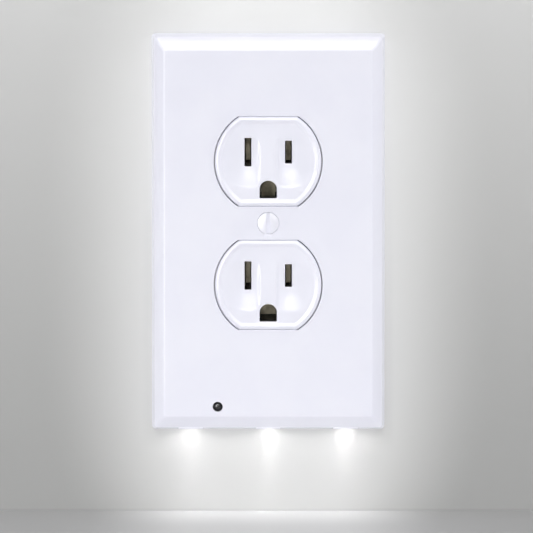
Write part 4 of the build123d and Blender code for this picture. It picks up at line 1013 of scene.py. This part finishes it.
def area_lamp(name, size, power):
    """A lamp that the camera doesn't see; its size is in metres and its power in watts."""
    data = bpy.data.lights.new(name, "AREA")
    data.shape = "RECTANGLE"
    data.size, data.size_y = size
    data.energy = power
    lamp = add_object(name, data)
    lamp.visible_camera = False
    return lamp


def softbox(name, azimuth, elevation, distance, size, level, diffuse=True, glossy=True):
    """A lamp that lights a surface facing it to the given level, where 1 shows its colour as written."""
    lamp = area_lamp(name, size, level * math.pi**2 * distance**2)
    back = direction(azimuth, elevation)
    lamp.location = back * distance
    lamp.rotation_euler = back.to_track_quat("Z", "Y").to_euler()
    lamp.visible_diffuse = diffuse
    lamp.visible_glossy = glossy


def lens_lamp(name, x, width, spread, power, tilt=0.0):
    """A lamp at a lens's outer face that shines down along the wall in a cone, tilted sideways.

    Its width is in millimetres, its power in milliwatts, and its spread and tilt in degrees.
    """
    lamp = area_lamp(name, (width * MM, LENS_LAMP_THICKNESS * MM), power * 0.001)
    lamp.data.spread = math.radians(spread)
    lamp.data.color = LED_LIGHT
    lamp.location = Vector((x, LENS_LAMP_Y, LENS_LAMP_Z)) * MM
    lamp.rotation_euler = (0, math.radians(tilt), 0)
    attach(lamp, "cover")


def make_lights():
    # azimuth, elevation, distance and size in metres, level
    softbox("overhead", -4, 80, 4.0, (2.6, 0.9), 0.255)
    softbox("upper", -6, 42, 4.0, (1.4, 1.1), 0.25)
    softbox("front", -1, 3.8, 3.0, (0.34, 0.4), 0.04)
    # seen only in the crests and edges that face up
    softbox("sky", 0, 46, 3.0, (5.0, 3.4), 1.7, diffuse=False)
    softbox("left_side", -90, 4, 3.0, (0.6, 1.2), 0.26, glossy=False)
    softbox("right_side", 90, 4, 3.0, (0.6, 1.2), 0.45, glossy=False)
    softbox("left_low", -84, -6, 0.32, (0.1, 0.04), 0.075, glossy=False)
    softbox("right_low", 58, -6, 0.32, (0.1, 0.04), 0.025, glossy=False)
    softbox("fill", 0, 7, 3.0, (0.8, 0.8), 0.08, glossy=False)
    # seen only as the line along the left bevel's edge
    softbox("left_strip", -33, 1, 0.32, (0.1, 0.22), 0.8, diffuse=False)
    softbox("rear_key", 205, 42, 1.4, (0.8, 0.8), 0.35)
    softbox("rear_side", 140, 10, 1.4, (0.5, 0.9), 0.15)
    for i, x in enumerate(LED_XS):
        lens_lamp(f"lens_fan_{i}", x, 0.6, 168, 0.29)
        lens_lamp(f"lens_beam_{i}", x, 3.8, 54, 0.18)
        for side, tilt in (("left", 58.0), ("right", -58.0)):
            lens_lamp(f"lens_{side}_{i}", x, 2.0, 72, 0.09, tilt)


def make_world():
    """Even light on the part, and a plain backdrop where a view or a mirrored ray looks past it."""
    world = bpy.data.worlds.new("studio")
    bpy.context.scene.world = world
    world.use_nodes = True
    nodes, links = world.node_tree.nodes, world.node_tree.links
    light = nodes["Background"]
    light.inputs["Color"].default_value = WORLD_LIGHT
    light.inputs["Strength"].default_value = WORLD_LEVEL
    shown = nodes.new("ShaderNodeBackground")
    shown.inputs["Color"].default_value = BACKDROP
    path = nodes.new("ShaderNodeLightPath")
    seen = path.outputs["Is Camera Ray"]
    for other in ("Is Glossy Ray", "Is Transmission Ray"):
        either = nodes.new("ShaderNodeMath")
        either.operation = "MAXIMUM"
        links.new(seen, either.inputs[0])
        links.new(path.outputs[other], either.inputs[1])
        seen = either.outputs[0]
    mix = nodes.new("ShaderNodeMixShader")
    links.new(seen, mix.inputs[0])
    links.new(light.outputs[0], mix.inputs[1])
    links.new(shown.outputs[0], mix.inputs[2])
    links.new(mix.outputs[0], nodes["World Output"].inputs["Surface"])


def stage_plane(name, corners, material):
    mesh = bpy.data.meshes.new(name)
    mesh.from_pydata([tuple(c * MM for c in p) for p in corners], [], [(0, 1, 2, 3)])
    mesh.materials.append(material)
    obj = add_object(name, mesh)


def inside(look, across, height, half_width, top, bottom):
    """1 inside an upright rectangle about the origin and 0 outside; sizes in millimetres."""
    beside = look.math("LESS_THAN", across, half_width * MM)
    below = look.math("LESS_THAN", height, top * MM)
    above = look.math("GREATER_THAN", height, -bottom * MM)
    return look.math("MULTIPLY", look.math("MULTIPLY", beside, below), above)


def wall_paint():
    """Matt paint with painted light, paler upward and palest round the plate, and with painted shade at its
    foot and beside the plate's lower half.

    It is clear from behind, and lets light from the rear reach the plate's back.
    """
    look = Nodes("wall_paint")
    geometry = look.add("NewGeometry")
    where = look.add("SeparateXYZ", {"Vector": geometry.outputs["Position"]})
    across = look.math("ABSOLUTE", where.outputs["X"])
    height = where.outputs["Z"]
    # painted light: paler from the floor upward, more so round the plate
    rise = look.spread_flat(height, FLOOR_Z * MM, WALL_FADE_TOP)
    far_rise, near_rise = (look.math("POWER", rise, power) for power in WALL_FADE_POWERS)
    edge = look.blend(far_rise, linear(164, 164, 163), linear(212, 212, 211))
    middle = look.blend(near_rise, linear(223, 223, 222), linear(243, 243, 242))
    # painted light: the pale patch is a rounded upright shape
    from_middle = look.math("MULTIPLY", look.math("ADD", height, -PAINTED_LIGHT_Z), 1 / PAINTED_LIGHT_HALF_HEIGHT)
    away = look.math("POWER", look.math("ABSOLUTE", from_middle), PAINTED_LIGHT_POWER)
    inward = look.math("SUBTRACT", PAINTED_LIGHT_HALF_WIDTH, look.math("MULTIPLY", away, PAINTED_LIGHT_TAPER))
    share = look.math("DIVIDE", look.math("SUBTRACT", inward, across), PAINTED_LIGHT_EDGE)
    # painted shade: a little darker at the floor, and close beside and just below the plate's lower half
    foot = look.spread(height, *FOOT_ZS, FOOT_SHADE, 1.0)
    close = look.spread(across, *BESIDE_XS, 1.0, 0.0)
    low_down = look.spread(height, *BESIDE_ZS, BESIDE_SHADE, 0.0)
    beside = look.math("MULTIPLY", look.math("MULTIPLY", close, low_down), look.spread(height, *BESIDE_FOOT))
    shade = look.math("MULTIPLY", foot, look.math("SUBTRACT", 1.0, beside))
    paint = look.blend(look.spread(share, 0.0, 1.0), edge, middle)
    look.shade("Base Color", look.blend(shade, linear(0, 0, 0), paint))
    look.shade("Roughness", 0.9)
    look.shade("Specular IOR Level", 0.1)
    # open where the outlet's body passes through, and under the plate for light from behind
    half_width, half_height = FLANGE_HALF_WIDTH - BODY_OPENING_LAP, FLANGE_HALF_HEIGHT - BODY_OPENING_LAP
    body = inside(look, across, height, half_width, half_height, half_height)
    plate = inside(look, across, height, PLATE_HALF_WIDTH, PLATE_TOP, PLATE_BOTTOM)
    not_seen = look.math("SUBTRACT", 1.0, look.add("LightPath").outputs["Is Camera Ray"])
    open_share = look.math("MAXIMUM", look.math("MULTIPLY", plate, not_seen), geometry.outputs["Backfacing"])
    open_share = look.math("MAXIMUM", open_share, body)
    clear = look.add("BsdfTransparent")
    mix = look.add("MixShader", {0: open_share, 1: look.shader.outputs[0], 2: clear.outputs[0]})
    look.set(look.output, "Surface", mix.outputs[0])
    return look.material


def floor_paint():
    """Matt and pale. As the camera sees it, painted shade makes it greyer at the foot of the wall and painted
    light makes a pale band there under the plate; other rays see it evenly pale.
    """
    look = Nodes("floor_paint")
    position = look.add("NewGeometry").outputs["Position"]
    away = look.add("VectorMath", {0: position}, operation="LENGTH").outputs["Value"]
    where = look.add("SeparateXYZ", {"Vector": position})
    # painted light in the band under the plate, painted shade to its sides
    across = look.spread(look.math("ABSOLUTE", where.outputs["X"]), *FLOOR_NEAR_XS, 1.0, 0.0)
    line = look.spread(where.outputs["Y"], *FLOOR_NEAR_YS)
    middle = look.blend(line, linear(198, 198, 198), linear(230, 230, 230))
    near = look.blend(across, linear(165, 165, 165), middle)
    shown = look.blend(look.spread(away, *FLOOR_FAR), near, linear(226, 226, 226))
    seen = look.add("LightPath").outputs["Is Camera Ray"]
    look.shade("Base Color", look.blend(seen, linear(238, 238, 238), shown))
    look.shade("Roughness", 0.4)
    look.shade("Specular IOR Level", 0.3)
    return look.material


def make_stage():
    wide, high, deep = 1500.0, 900.0, 1500.0
    wall = [(-wide, 0, FLOOR_Z), (wide, 0, FLOOR_Z), (wide, 0, high), (-wide, 0, high)]
    stage_plane("wall", wall, wall_paint())
    floor = [(-wide, -deep, FLOOR_Z), (wide, -deep, FLOOR_Z), (wide, deep, FLOOR_Z), (-wide, deep, FLOOR_Z)]
    stage_plane("floor", floor, floor_paint())


# ---- CAD nodes that stay
def dress_nodes():
    """The record's finish for each CAD node, with the hard edges eased on those in EASED."""
    for name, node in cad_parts.items():
        node.material_slots[0].link = "OBJECT"
        node.material_slots[0].material = FINISHES[SLOT_OF[name]]
        if name in EASED:
            node.modifiers.new("weld", "WELD").merge_threshold = WELD_REACH * MM
            flat = node.modifiers.new("flat", "DECIMATE")
            flat.decimate_type = "DISSOLVE"
            flat.angle_limit = math.radians(FLAT_ANGLE)
            ease_edges(node, EASED[name])
            even_shading(node)


scene = bpy.context.scene
scene.view_settings.view_transform = "Standard"
make_camera()
make_world()
make_stage()
make_lights()
dress_nodes()
make_plate()
make_plate_ribs()
make_socket_face()
make_body_relief()
make_screws()
